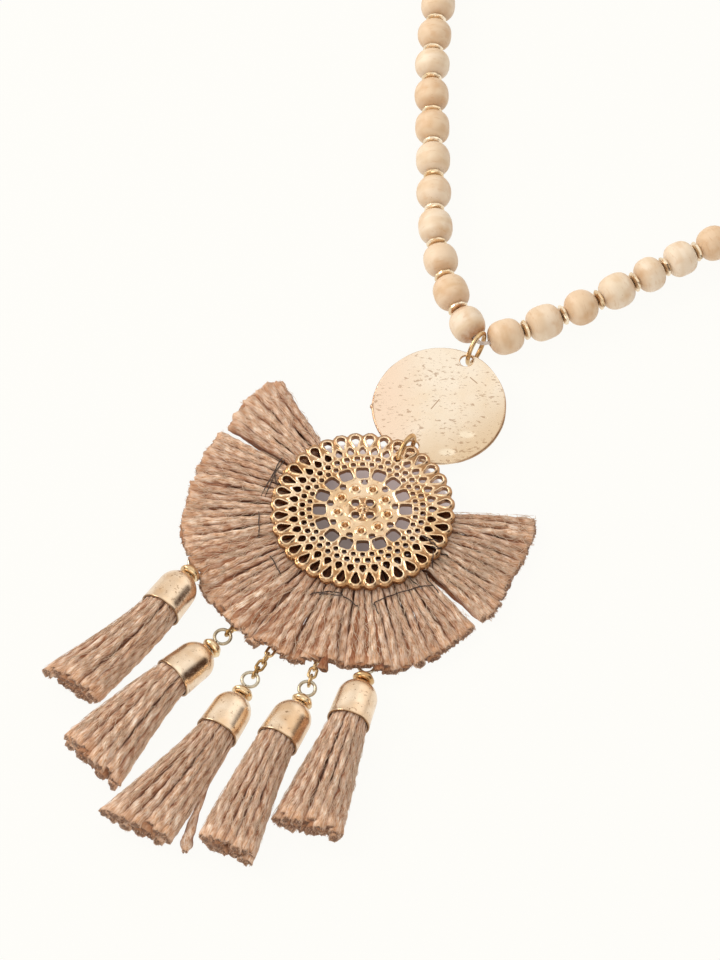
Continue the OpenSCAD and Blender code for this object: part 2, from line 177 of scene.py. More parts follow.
def makeCamera():
    up, turn = math.radians(shot["elevation"]), math.radians(shot["azimuth"])
    back = Vector((math.cos(up) * math.sin(turn), -math.cos(up) * math.cos(turn), math.sin(up)))
    right = Vector((math.cos(turn), math.sin(turn), 0))
    axes = Matrix((right, back.cross(right), back)).transposed().to_4x4()
    data = bpy.data.cameras.new("camera")
    data.sensor_fit = "VERTICAL"
    data.angle = math.radians(shot["verticalView"])
    data.clip_start = shot["clipStart"]
    camera = bpy.data.objects.new("camera", data)
    camera.matrix_world = Matrix.Translation((Vector(shot["target"]) + back * shot["distance"]) * mm) @ axes
    bpy.context.scene.collection.objects.link(camera)
    bpy.context.scene.camera = camera


studio = {
    "floorSize": 3.0, "floorDrop": 0.03, "floorRough": 0.9, "floorShine": 0.1,
    "glow": 0.955, "glowColour": "#FFFEFA", "cardColour": "#2E2D2A", "sky": 1.0,
    # painted shadow: a grey disc on the floor under the filigree, where the glow stops, with a faint painted
    # light in it that grows from front to back
    "shadeAt": (-1.0, -141.9, 0), "shadeFrom": 20.4, "shadeTo": 21.0, "shadeColour": "#B5AFAB",
    "shadeTint": "#F2DCDC", "shadeGlow": (0.03, 0.30), "shadeSpan": (-14, 13), "shadeWay": (0.1, 0.995, 0),
    "key": {"from": (-0.85, -0.05, 0.62), "distance": 1.3, "size": 0.75, "power": 8},
    "fill": {"from": (0.15, -0.75, 0.62), "distance": 1.6, "size": 0.9, "power": 3},
    "lampColour": "#FFF8EE",
    "room": [(0.0, "#E2DBD2"), (0.14, "#F3EDE5"), (0.5, "#FFFCF6")],  # from level upwards
    # dark patches of the room that the metal mirrors: direction, inner and outer edge, depth
    "patches": [((0.93, 0.20, 0.28), 0.94, 0.80, 1.0), ((-0.75, -0.60, 0.25), 0.95, 0.74, 0.62)],
    "patchColour": "#42291A",
    "window": ((0.23, 0.84, 0.49), 0.95, 0.84, 0.28),  # and the brightest part of it
    "windowColour": "#FFFAF0",
}

# settings that many nodes share
rgba, multiply = {"data_type": "RGBA"}, {"data_type": "RGBA", "blend_type": "MULTIPLY"}
smoothly, dot = {"interpolation_type": "SMOOTHSTEP"}, {"operation": "DOT_PRODUCT"}
minus, times, scaledBy = {"operation": "SUBTRACT"}, {"operation": "MULTIPLY"}, {"operation": "SCALE"}
greatest, timesAdd = {"operation": "MAXIMUM"}, {"operation": "MULTIPLY_ADD"}


def newMaterial(name):
    material = bpy.data.materials.new(name)
    material.use_nodes = True
    tree = material.node_tree
    return material, partial(addNode, tree), partial(setInputs, tree, tree.nodes["Principled BSDF"])


def makeFloor():
    # an ivory light table: it glows, so that hardly a shadow falls on it, but for a painted shadow
    # under the filigree: a grey disc where the glow stops
    material, add, dress = newMaterial("ivory light table")
    middle = Vector(studio["shadeAt"]) * mm
    place = add("TexCoord", out="Object")
    away = add("VectorMath", {"operation": "DISTANCE"}, {0: place, 1: middle}, out="Value")
    lit = add("MapRange", smoothly, {"Value": away, "From Min": studio["shadeFrom"] * mm,
                                     "From Max": studio["shadeTo"] * mm})
    card = add("Mix", rgba, {0: lit, 6: studio["shadeColour"], 7: studio["cardColour"]}, out=2)
    inward = add("VectorMath", minus, {0: place, 1: middle})
    backward = add("VectorMath", dot, {0: inward, 1: studio["shadeWay"]}, out="Value")
    # the painted shadow keeps a faint painted glow, weaker at the front and stronger at the back
    (faint, stronger), (front, rear) = studio["shadeGlow"], studio["shadeSpan"]
    paintedGlowInShadow = add("MapRange", {}, {"Value": backward, "From Min": front * mm, "From Max": rear * mm,
                                  "To Min": faint, "To Max": stronger})
    glow = add("Mix", {"data_type": "FLOAT"}, {0: lit, 2: paintedGlowInShadow, 3: studio["glow"]})
    tint = add("Mix", rgba, {0: lit, 6: studio["shadeTint"], 7: studio["glowColour"]}, out=2)
    dress({"Base Color": card, "Emission Strength": glow, "Emission Color": tint,
           "Roughness": studio["floorRough"], "Specular IOR Level": studio["floorShine"]})
    bm = bmesh.new()
    bmesh.ops.create_grid(bm, x_segments=2, y_segments=2, size=studio["floorSize"] / 2)
    bmesh.ops.translate(bm, verts=bm.verts, vec=(0, 0, -studio["floorDrop"] * mm))
    mesh = bpy.data.meshes.new("floor")
    bm.to_mesh(mesh)
    bm.free()
    mesh.materials.append(material)
    floor = bpy.data.objects.new("floor", mesh)
    bpy.context.scene.collection.objects.link(floor)


def makeRoom():  # white all round, with warm dark patches at the sides for the metal to mirror
    world = bpy.data.worlds.new("studio")
    world.use_nodes = True
    bpy.context.scene.world = world
    world.node_tree.nodes.clear()
    add = partial(addNode, world.node_tree)
    aim = add("TexCoord", out="Generated")

    def roundPatch(direction, inner, outer, most):
        facing = add("VectorMath", dot, {0: aim, 1: Vector(direction).normalized()}, out="Value")
        return add("MapRange", smoothly, {"Value": facing, "From Min": outer, "From Max": inner,
                                          "To Max": most})

    darks = 0.0
    for patch in studio["patches"]:
        darks = add("Math", greatest, {0: darks, 1: roundPatch(*patch)})
    height = add("SeparateXYZ", {}, {0: aim}, out="Z")
    colour = add("ValToRGB", {}, {0: height}, studio["room"])
    colour = add("Mix", rgba, {0: darks, 6: colour, 7: studio["patchColour"]}, out=2)
    colour = add("Mix", {"data_type": "RGBA", "blend_type": "ADD", "clamp_result": False},
                 {0: roundPatch(*studio["window"]), 6: colour, 7: studio["windowColour"]}, out=2)
    back = add("Background", {}, {"Color": colour, "Strength": studio["sky"]})
    add("OutputWorld", {}, {"Surface": back})


def makeLamps():
    middle = Vector(shot["target"]) * mm
    for name in ("key", "fill"):
        lamp = studio[name]
        direction = Vector(lamp["from"]).normalized()
        data = bpy.data.lights.new(name, "AREA")
        data.shape = "DISK"
        data.size, data.energy = lamp["size"], lamp["power"]
        data.color = toLinear(studio["lampColour"])[:3]
        light = bpy.data.objects.new(name, data)
        light.location = middle + direction * lamp["distance"]
        light.rotation_euler = direction.to_track_quat("Z", "Y").to_euler()
        bpy.context.scene.collection.objects.link(light)


bpy.context.scene.view_settings.view_transform = "Standard"
bpy.context.scene.view_settings.look = "None"
makeCamera()
makeFloor()
makeRoom()
makeLamps()
print("camera and studio")


def boneMaterial():
    # natural bone, tumbled to a soft satin: cream, with broad faint growth bands round the bore,
    # tan clouds, a few brown specks and a stain that soaks out of the drilled ends
    material, add, dress = newMaterial("tumbled bone")
    grown = add("Attribute", {"attribute_name": "beadCo"}, out="Vector")
    tone = add("Attribute", {"attribute_name": "beadTone"}, out="Fac")
    stain = add("Attribute", {"attribute_name": "beadStain"}, out="Fac")
    stretched = add("VectorMath", times, {0: grown, 1: (0.42, 0.09, 0.09)})
    bands = add("TexNoise", {}, {"Vector": stretched, "Scale": 1.3, "Detail": 1.5})
    colour = add("ValToRGB", {}, {0: bands}, [(0.30, "#DAC1A2"), (0.48, "#E0CBB1"), (0.70, "#E7D6C1")])
    # tan clouds, pale clouds, streaks and specks: scale, detail, from, to, most and tint
    for pattern, scale, detail, low, high, most, tint in (
            (grown, 0.30, 2, 0.46, 0.72, 0.60, "#D3B089"), (grown, 0.23, 1, 0.52, 0.70, 0.55, "#EBDCC6"),
            (stretched, 5.5, 2, 0.60, 0.72, 0.30, "#C59A6A"), (grown, 2.9, 1, 0.74, 0.80, 0.50, "#A9794A")):
        cloud = add("TexNoise", {}, {"Vector": pattern, "Scale": scale, "Detail": detail})
        share = add("MapRange", smoothly,
                    {"Value": cloud, "From Min": low, "From Max": high, "To Max": most})
        colour = add("Mix", rgba, {0: share, 6: colour, 7: tint}, out=2)
    colour = add("Mix", multiply, {0: tone, 6: colour, 7: "#ECD3B4"}, out=2)
    mottled = add("TexNoise", {}, {"Vector": grown, "Scale": 0.9, "Detail": 4})
    soaked = add("Math", times, {0: stain, 1: mottled})
    soaked = add("Math", {"operation": "MULTIPLY", "use_clamp": True}, {0: soaked, 1: 1.7})
    colour = add("Mix", rgba, {0: soaked, 6: colour, 7: "#A9713F"}, out=2)
    grain = add("TexNoise", {}, {"Vector": grown, "Scale": 2.4, "Detail": 3})
    bump = add("Bump", {}, {"Strength": 0.2, "Distance": 0.00004, "Height": grain})
    dress({"Base Color": colour, "Normal": bump, "Roughness": 0.48, "IOR": 1.53})
    return material


def goldMaterial(name, bright, deep, roughness, grain, wear, dent, dark):
    # gold-plated metal: the plating drifts between a bright and a deep tint, with fine ripples,
    # darker scuffs, and brown where the edgeDark attribute asks: patina in the filigree's hollows, and
    # painted shade along a cap's lip
    material, add, dress = newMaterial(name)
    place = add("TexCoord", out="Object")
    scaled = add("VectorMath", scaledBy, {0: place, "Scale": 1000.0})
    drift = add("TexNoise", {}, {"Vector": scaled, "Scale": 0.16, "Detail": 2})
    colour = add("ValToRGB", {}, {0: drift}, [(0.35, deep), (0.62, bright)])
    scuffs = add("TexNoise", {}, {"Vector": scaled, "Scale": 1.1, "Detail": 5, "Roughness": 0.65})
    wearPatinaAndShade = add("MapRange", {}, {"Value": scuffs, "From Min": 0.59, "From Max": 0.66, "To Max": wear})
    edge = add("Attribute", {"attribute_name": "edgeDark"}, out="Fac")
    wearPatinaAndShade = add("Math", greatest, {0: wearPatinaAndShade, 1: edge})
    colour = add("Mix", rgba, {0: wearPatinaAndShade, 6: colour, 7: dark}, out=2)
    rough = add("MapRange", {}, {"Value": scuffs, "From Min": 0.35, "From Max": 0.7,
                                 "To Min": roughness, "To Max": roughness * 1.7})
    ripple = add("TexNoise", {}, {"Vector": scaled, "Scale": grain, "Detail": 3})
    bump = add("Bump", {}, {"Strength": dent, "Distance": 0.00006, "Height": ripple})
    dress({"Base Color": colour, "Roughness": rough, "Normal": bump, "Metallic": 1.0})
    return material


def juteMaterial():
    # raw jute yarn, loosely spun: dull straw brown, streaked by fibres that run along the yarn,
    # with painted shade down in the furrows, between the strands and under the filigree, a little warmer at
    # the tips and orange brown on a cut face
    material, add, dress = newMaterial("spun jute")
    spun = add("Attribute", {"attribute_name": "fibreCo"}, out="Vector")
    tone = add("Attribute", {"attribute_name": "strandTone"}, out="Fac")
    cut = add("Attribute", {"attribute_name": "cutEnd"}, out="Fac")
    # real fibres are 0.05 mm: drawn about 0.2 mm wide, so that they show in the render
    drawn = add("VectorMath", times, {0: spun, 1: (1.0, 1.0, 0.12)})
    fibres = add("TexNoise", {}, {"Vector": drawn, "Scale": 3.9, "Detail": 3, "Roughness": 0.75})
    clumps = add("TexNoise", {}, {"Vector": spun, "Scale": 0.6, "Detail": 3, "Roughness": 0.6})
    both = add("Math", timesAdd, {0: clumps, 1: 0.35, 2: fibres})
    colour = add("ValToRGB", {}, {0: both}, [(0.48, "#97694E"), (0.59, "#D9AA86"), (0.68, "#F0CFB2"),
                                             (0.80, "#FFF1E2")])
    # the tone darkens the yarn: each strand's own tone, with painted shade in the furrows, on the flanks
    # between neighbours and on lower and inner strands
    colour = add("Mix", multiply, {0: tone, 6: colour, 7: "#9E755C"}, out=2)
    tips = add("MapRange", {}, {"Value": cut, "From Max": 0.55, "To Max": 0.40})
    colour = add("Mix", rgba, {0: tips, 6: colour, 7: "#D8A47C"}, out=2)
    frayed = add("TexNoise", {}, {"Vector": spun, "Scale": 4.5, "Detail": 2})
    frayed = add("ValToRGB", {}, {0: frayed}, [(0.38, "#432513"), (0.52, "#7A4D30"), (0.66, "#A77854")])
    face = add("MapRange", {}, {"Value": cut, "From Min": 0.58, "From Max": 0.9, "To Max": 0.85})
    colour = add("Mix", rgba, {0: face, 6: colour, 7: frayed}, out=2)
    # painted shadow: a tone above one, where the filigree covers the yarn, turns it near black brown
    hidden = add("MapRange", {}, {"Value": tone, "From Min": 1.0, "From Max": 2.0, "To Max": 0.9})
    colour = add("Mix", rgba, {0: hidden, 6: colour, 7: "#432915"}, out=2)
    bump = add("Bump", {}, {"Strength": 1.0, "Distance": 0.0003, "Height": both})
    dress({"Base Color": colour, "Normal": bump, "Roughness": 0.85, "Specular IOR Level": 0.2,
           "Sheen Weight": 0.2, "Sheen Roughness": 0.5})
    return material


def threadMaterial(name, light, dark):
    # spun cotton: matt, with the fine slanting lines of its twist
    material, add, dress = newMaterial(name)
    spun = add("Attribute", {"attribute_name": "fibreCo"}, out="Vector")
    drawn = add("VectorMath", times, {0: spun, 1: (4.0, 4.0, 0.6)})
    fibres = add("TexNoise", {}, {"Vector": drawn, "Scale": 1.5, "Detail": 3})
    colour = add("ValToRGB", {}, {0: fibres}, [(0.35, dark), (0.6, light)])
    bump = add("Bump", {}, {"Strength": 0.5, "Distance": 0.0001, "Height": fibres})
    dress({"Base Color": colour, "Normal": bump, "Roughness": 0.9, "Specular IOR Level": 0.2})
    return material


bone = boneMaterial()
jute = juteMaterial()
cottonGrey = threadMaterial("spun cotton, grey", "#D9CFC8", "#A99C94")
stitchThread = threadMaterial("dark sewing thread", "#5F524C", "#2F2825")
fibreMaterial = threadMaterial("loose jute fibre", "#E6D2BC", "#C7A588")

brown = "#7A5228"
# bright and deep tint, roughness, ripples to a millimetre, how much scuffing shows, how deep the
# dents look, and the dark tint
spacerGold = goldMaterial("plated rondelle gold", "#FBECD4", "#E6CBA4", 0.2, 1.6, 0.6, 0.6, brown)
ringGold = goldMaterial("drawn brass wire", "#DDBE92", "#B98F5E", 0.2, 2.0, 0.35, 0.25, brown)
pinGold = goldMaterial("drawn steel-gold wire", "#D2C8B4", "#AC9D85", 0.2, 2.0, 0.3, 0.25, brown)
capGold = goldMaterial("pressed cap gold", "#F4DFC6", "#DDBB97", 0.19, 0.6, 0.75, 0.22, "#85603A")
collarGold = goldMaterial("turned collar gold", "#EFD9B4", "#C89F6D", 0.2, 1.5, 0.6, 0.3, brown)
castGold = goldMaterial("cast plated gold", "#F4D9B8", "#DFBB90", 0.21, 1.2, 0.4, 0.35, "#94602E")
chainGold = goldMaterial("chain wire gold", "#E3C698", "#A07C4C", 0.2, 2.0, 0.5, 0.3, brown)
print("materials")


def smoothCurve(a, b, c, d, t):  # from b to c, and smooth with the lines before and after
    return (2 * b + t * (c - a) + t * t * (2 * a - 5 * b + 4 * c - d) + t ** 3 * (3 * b - a - 3 * c + d)) / 2


loop = {
    "pendantY": -141.6, "lowPoint": (0.2, 52), "threadZ": 4,
    "right": [(7.2, 61), (17.5, 76.5), (26, 92), (37, 111), (49, 134), (61, 157), (73, 180), (85, 202)],
    "left": [(-5, 55.3), (-12.5, 61.1), (-19.3, 68.1), (-24.7, 75.4), (-31, 86), (-40.5, 102),
             (-49.5, 118), (-59, 139), (-68.5, 160), (-78, 181), (-87.5, 202.5)],
    "arcRadius": 106, "arcY": 267, "arcFrom": -24, "arcSteps": 14, "fine": 6,
    "rightLengths": [8, 8, 7.6, 8, 6.6, 6.9, 7.8, 7.5],
    "leftLengths": [8, 7.9, 7.6, 8.2, 8, 7.8, 7.5, 8, 7, 7.3, 7.4, 7.8],
    "beads": 88, "beadD": 8, "bore": 1.5, "bareThread": 2.3, "ripple": 0.25, "rippleTurn": 37,
    "spacerD": 4.8, "spacerT": 1.2, "gap": 0.19, "threadD": 0.9,
}
pendant = Matrix.Translation((0, loop["pendantY"], 0))


def loopRoute():  # the same curve as in the solids: its joints, and the length of each bead
    arc = []
    for i in range(loop["arcSteps"] + 1):
        a = math.radians(loop["arcFrom"] + i * (180 - 2 * loop["arcFrom"]) / loop["arcSteps"])
        arc.append((loop["arcRadius"] * math.cos(a), loop["arcY"] + loop["arcRadius"] * math.sin(a)))
    low = [loop["lowPoint"]]
    controls = [Vector(p) for p in low + loop["right"] + arc + loop["left"][::-1] + low]
    controls = [2 * controls[0] - controls[1]] + controls + [2 * controls[-1] - controls[-2]]
    curve = []
    for a, b, c, d in zip(controls, controls[1:], controls[2:], controls[3:]):
        curve += [smoothCurve(a, b, c, d, k / loop["fine"]) for k in range(loop["fine"])]
    curve.append(controls[-2])
    along = [0.0]
    for a, b in zip(curve, curve[1:]):
        along.append(along[-1] + (b - a).length)

    def at(s):
        i = min(max(bisect_right(along, s) - 1, 0), len(curve) - 2)
        part = (s - along[i]) / (along[i + 1] - along[i])
        return curve[i].lerp(curve[i + 1], min(1, max(0, part)))

    right, left, count = loop["rightLengths"], loop["leftLengths"], loop["beads"]
    spacing = loop["spacerT"] + 2 * loop["gap"]
    hidden = count - len(right) - len(left)
    mean = (along[-1] - 2 * loop["bareThread"] - (count - 1) * spacing - sum(right) - sum(left)) / hidden
    lengths = []
    for i in range(count):
        if i < len(right):
            lengths.append(right[i])
        elif i >= count - len(left):
            lengths.append(left[count - 1 - i])
        else:
            sign = 1 if i % 2 == len(right) % 2 else -1
            turn = math.radians(loop["rippleTurn"] * (i // 2))
            lengths.append(mean + loop["ripple"] * sign * math.cos(turn))
    joints, s = [], loop["bareThread"]
    for length in lengths:
        joints.append(at(s - spacing / 2))
        s += length + spacing
    joints.append(at(along[-1] - loop["bareThread"] + spacing / 2))
    return joints, lengths


def onThread(point, before, after, rng):  # turned along the thread, and by chance round it
    angle = math.atan2(after.y - before.y, after.x - before.x)
    return (pendant @ Matrix.Translation((point.x, point.y, loop["threadZ"]))
            @ Matrix.Rotation(angle, 4, "Z")
            @ Matrix.Rotation(rng.uniform(0, math.tau), 4, "X"))


def someShift(rng, far):  # a place of its own in the noise
    return Vector((rng.uniform(0, far), rng.uniform(0, far), rng.uniform(0, far)))


bead = {
    "segments": 28, "rings": 15, "roundness": 2.55, "flat": 1.25, "chamfer": 0.18,
    "wobble": 0.16, "wobbleScale": 0.22,  # mm that a tumbled bead strays from a true barrel
    "toneMost": 0.85, "toneBias": 1.6, "stain": 0.3, "lastStain": (1.0, 0.9), "stainFrom": 0.45,
}


def beadShape(length, rng):
    half, radius, bore = length / 2, loop["beadD"] / 2, loop["bore"] / 2
    power = bead["roundness"] * spread(rng, 0.1)
    profile = [(-half + bead["chamfer"], bore), (-half, bore + bead["chamfer"])]
    for k in range(bead["rings"]):
        a = math.pi * (k + 0.5) / bead["rings"]
        x, r = -math.cos(a), math.sin(a)
        x = math.copysign(abs(x) ** (2 / power), x) * half
        r = max(r ** (2 / power) * radius, bead["flat"])
        profile.append((x, r))
    profile += [(half, bore + bead["chamfer"]), (half - bead["chamfer"], bore)]
    return spinProfile(profile, bead["segments"])


def makeBeads(name, first, last, node, joints, lengths):
    rng = random.Random(first + 5)
    target = bmesh.new()
    grown, tones, stains = [], [], []
    for i in range(first, last + 1):
        a, b = joints[i], joints[i + 1]
        shape = beadShape(lengths[i], rng)
        shift = someShift(rng, 90)
        tone = rng.uniform(0.0, bead["toneMost"]) ** bead["toneBias"]
        soaked = bead["lastStain"]  # only on the bead by the bare thread are both ends this dark
        if i < loop["beads"] - 1:
            soaked = (rng.uniform(0, bead["stain"]), rng.uniform(0, bead["stain"]))
        place = onThread((a + b) / 2, a, b, rng)
        for vert in addTo(target, shape):
            co = vert.co.copy()
            out = Vector((0, co.y, co.z))
            if out.length > loop["bore"]:
                co += out.normalized() * noise.noise(co * bead["wobbleScale"] + shift) * bead["wobble"]
            grown.append(co + shift)
            tones.append(tone)
            near = ease((abs(co.x) / lengths[i] * 2 - bead["stainFrom"]) / (1 - bead["stainFrom"]))
            stains.append((soaked[1] if co.x > 0 else soaked[0]) * near)
            vert.co = place @ co
    finishPiece(name, target, bone, [node],
                {"beadCo": grown, "beadTone": tones, "beadStain": stains})


spacer = {
    "segments": 16, "round": 0.3, "neck": 1.0, "cutFrom": 1.2,
    "notch": 0.22, "between": 0.15, "uneven": 0.5,  # filed notches round the rim, on every other facet
    "dent": 0.12, "dentScale": 0.9,
}


def makeSpacers(name, first, last, node, joints, cut):
    rng = random.Random(first)
    target = bmesh.new()
    half, radius, bore, soft = loop["spacerT"] / 2, loop["spacerD"] / 2, loop["bore"] / 2, spacer["round"]
    side = [(soft * 0.8, radius), (half - soft * 0.4, radius - soft), (half, radius - spacer["neck"]),
            (half, bore)]
    profile = [(-x, r) for x, r in side[::-1]] + side
    for i in range(first, last + 1):
        shape = spinProfile(profile, spacer["segments"])
        place = onThread(joints[i], joints[i - 1], joints[i + 1], rng)
        shift = Vector((rng.uniform(0, 90), 0, 0))
        for vert in addTo(target, shape):
            co = vert.co.copy()
            out = math.hypot(co.y, co.z)
            if out > radius - spacer["cutFrom"]:
                facet = round(math.atan2(co.z, co.y) / math.tau * spacer["segments"])
                depth = cut if facet % 2 else spacer["between"]
                depth *= spacer["notch"] * spread(rng, spacer["uneven"])
                depth += spacer["dent"] * noise.noise(co * spacer["dentScale"] + shift)
                co.y *= 1 - depth / out
                co.z *= 1 - depth / out
            vert.co = place @ co
    finishPiece(name, target, spacerGold, [node], smooth=False)


# a strand is a round blank, laid along a path, with its plies twisting round it
def strandBlank(sides, sections, cutFace=True):
    bm = bmesh.new()
    bmesh.ops.create_cone(bm, cap_ends=True, cap_tris=True, segments=sides, radius1=1, radius2=1, depth=1,
                          matrix=Matrix.Translation((0, 0, 0.5)))
    upright = [e for e in bm.edges if abs(e.verts[0].co.z - e.verts[1].co.z) > 0.5]
    bmesh.ops.subdivide_edges(bm, edges=upright, cuts=sections - 1, use_grid_fill=True)
    if cutFace:
        middle = [v for v in bm.verts if v.co.z > 0.99 and v.co.to_2d().length < 0.1]
        bmesh.ops.subdivide_edges(bm, edges=list(middle[0].link_edges), cuts=1)
    bm.normal_update()
    mesh = bpy.data.meshes.new("blank")
    bm.to_mesh(mesh)
    bm.free()
    return mesh


# how many plies, how deep the furrow between them (darkened there as painted shade), turns to a millimetre,
# how rough the outline, how ragged the cut end, the tone (higher on a lower or inner strand, as painted
# shade), the share that is lighter by the cut, and how much painted shade darkens the flanks between
# neighbours
cordLook = {"plies": 2, "furrow": 0.2, "turns": 0.6, "rough": 0.1, "ragged": 0, "tone": 0, "cut": 0.05,
            "shadow": 0}
hairLook = dict(cordLook, plies=1, furrow=0, turns=0, rough=0.2, cut=0.5)


def layStrand(target, blank, course, look, rng, record):
    # course(t) gives (centre, sideways, up, half width, half height) at share t of the length
    shift = someShift(rng, 200)
    length = (course(1)[0] - course(0)[0]).length
    start = rng.uniform(0, math.tau)
    plies, furrow, turns = look["plies"], look["furrow"], look["turns"] * length
    ragged = [rng.uniform(-1, 1) for _ in range(64)]
    stations = {}
    for number, vert in enumerate(addTo(target, blank)):
        x, y, t = vert.co
        key = round(t, 4)
        if key not in stations:
            stations[key] = course(t)
        centre, side, up, wide, high = stations[key]
        reach = math.hypot(x, y)
        around = math.atan2(y, x)
        lobe = 1 - furrow * (0.5 + 0.5 * math.cos(plies * (around - start - turns * t * math.tau))) ** 2
        uneven = 1 + look["rough"] * noise.noise(Vector((x, y, t * length * 0.5)) + shift)
        r = reach * lobe * uneven
        place = centre + side * (wide * r * math.cos(around)) + up * (high * r * math.sin(around))
        if t > 0.999:
            forward = side.cross(up)
            place = place + forward * look["ragged"] * ragged[number % 64] * (0.5 + 0.5 * reach)
        place.z = max(place.z, 0.02)
        vert.co = place
        record["fibreCo"].append(Vector((x * wide, y * wide, t * length)) + shift)
        # painted shade: the tone grows down in the furrow between plies, on the flanks that face a
        # neighbour, and, above one, under the filigree
        flankShade = look["shadow"] * abs(math.cos(around)) ** 6 * reach * (1 - ease((t - 0.8) / 0.2))
        hidden = ease((look.get("hidden", 0) - t) / 0.05)  # painted shadow where the filigree covers the strand
        record["strandTone"].append(min(1.0, look["tone"] + 2.2 * (1 - lobe) + flankShade) + hidden)
        record["cutEnd"].append(0.55 * ease((t - 1 + look["cut"]) / look["cut"]) if reach > 0.9
                                else (1.0 if t > 0.5 else 0.0))


def newRecord():
    return {"fibreCo": [], "strandTone": [], "cutEnd": []}


def pathCourse(points, radius, taper=0.0):  # an even strand through points, for threads and loose fibres
    points = [Vector(p) for p in points]
    extended = [2 * points[0] - points[1]] + points + [2 * points[-1] - points[-2]]

    def place(t):
        s = min(t, 0.99999) * (len(points) - 1)
        i, u = int(s), s - int(s)
        a, b, c, d = extended[i:i + 4]
        return smoothCurve(a, b, c, d, u)

    def course(t):
        forward = (place(min(1, t + 0.02)) - place(max(0, t - 0.02))).normalized()
        side = Vector((0, 0, 1)).cross(forward)
        side = side.normalized() if side.length > 0.05 else Vector((1, 0, 0))
        up = forward.cross(side)
        size = radius * (1 - taper * abs(2 * t - 1) ** 3)
        return place(t), side, up, size, size
    return course


joints, lengths = loopRoute()
half = loop["beads"] // 2
makeBeads("right_bone_beads", 0, half - 1, "beads_right", joints, lengths)
makeBeads("left_bone_beads", half, loop["beads"] - 1, "beads_left", joints, lengths)
makeSpacers("right_rondelles", 1, half, "spacers_right", joints, 1.0)
makeSpacers("left_rondelles", half + 1, loop["beads"] - 1, "spacers_left", joints, 0.5)


def makeThread():  # grey cotton through all bores, twisted where it shows at the lowest point
    target, record = bmesh.new(), newRecord()
    rng = random.Random(3)
    look = dict(cordLook, furrow=0.22, turns=0.55, rough=0.05, tone=0.2, cut=0.01)
    shown = [joints[-2].lerp(joints[-1], 0.6), joints[-1], joints[0], joints[0].lerp(joints[1], 0.4)]
    rest = [joints[0].lerp(joints[1], 0.38)] + joints[1:-1] + [joints[-2].lerp(joints[-1], 0.62)]
    for points, sides, sections, part in ((shown, 12, 30, look),
                                          (rest, 8, 3 * len(rest), dict(look, furrow=0, turns=0))):
        points = [(p.x, p.y + loop["pendantY"], loop["threadZ"]) for p in points]
        course = pathCourse(points, loop["threadD"] / 2)
        layStrand(target, strandBlank(sides, sections), course, part, rng, record)
    finishPiece("cotton_thread", target, cottonGrey, ["thread"], record)


makeThread()
print("beads, spacers and thread")


rings = {"radius": 3.8, "wire": 1.06, "pendantAt": (0, 50.5, 4.45), "linkAt": (0, 18.6, 4.45),
         "cut": 1.2, "steps": 72}


def makeRing(name, at, node, cutAt):  # a jump ring with the fine cut where it was closed
    path = []
    for k in range(rings["steps"] + 1):
        a = math.radians(cutAt + rings["cut"] / 2 + (360 - rings["cut"]) * k / rings["steps"])
        path.append(pendant @ Vector((at[0], at[1] + rings["radius"] * math.cos(a),
                                      at[2] + rings["radius"] * math.sin(a))))
    finishPiece(name, wireLoops([path], rings["wire"] / 2, closed=False, steps=5), ringGold, [node])


makeRing("pendant_jump_ring", rings["pendantAt"], "pendant_ring", 55)
makeRing("link_jump_ring", rings["linkAt"], "link_ring", 200)


def platedShape(outlines, look, extra):
    # a flat plate with holes from closed outlines, with extra shapes cast onto it: one even skin
    # that is rounded along its edges and takes dents
    bm = bmesh.new()
    bm.from_mesh(outlineCurve("plate", outlines, True, {"dimensions": "2D", "fill_mode": "BOTH",
                                                        "extrude": look["thickness"] / 2}))
    bmesh.ops.remove_doubles(bm, verts=bm.verts, dist=0.002)
    bmesh.ops.recalc_face_normals(bm, faces=bm.faces)
    for shape in extra:
        addTo(bm, shape)
    mesh = bpy.data.meshes.new("plate")
    bm.to_mesh(mesh)
    bm.free()

    def remesh(helper):
        skin = helper.modifiers.new("skin", "REMESH")
        skin.mode = "VOXEL"
        skin.voxel_size = look["voxel"]
        skin.adaptivity = 0
        if look["kept"] < 1:
            thin = helper.modifiers.new("thin", "DECIMATE")
            thin.ratio = look["kept"]

    bm = bmesh.new()
    bm.from_mesh(evaluatedMesh(mesh, remesh))
    for _ in range(look["smoothing"]):
        bmesh.ops.smooth_vert(bm, verts=bm.verts, factor=0.5, use_axis_x=True, use_axis_y=True,
                              use_axis_z=True)
    return bm


def circlePoints(x, y, r, steps):
    return [(x + r * math.cos(math.tau * k / steps), y + r * math.sin(math.tau * k / steps))
            for k in range(steps)]


def ball(bm, radius, place, around, down):
    bmesh.ops.create_uvsphere(bm, u_segments=around, v_segments=down, radius=radius,
                              matrix=Matrix.Translation(place))
    return bm


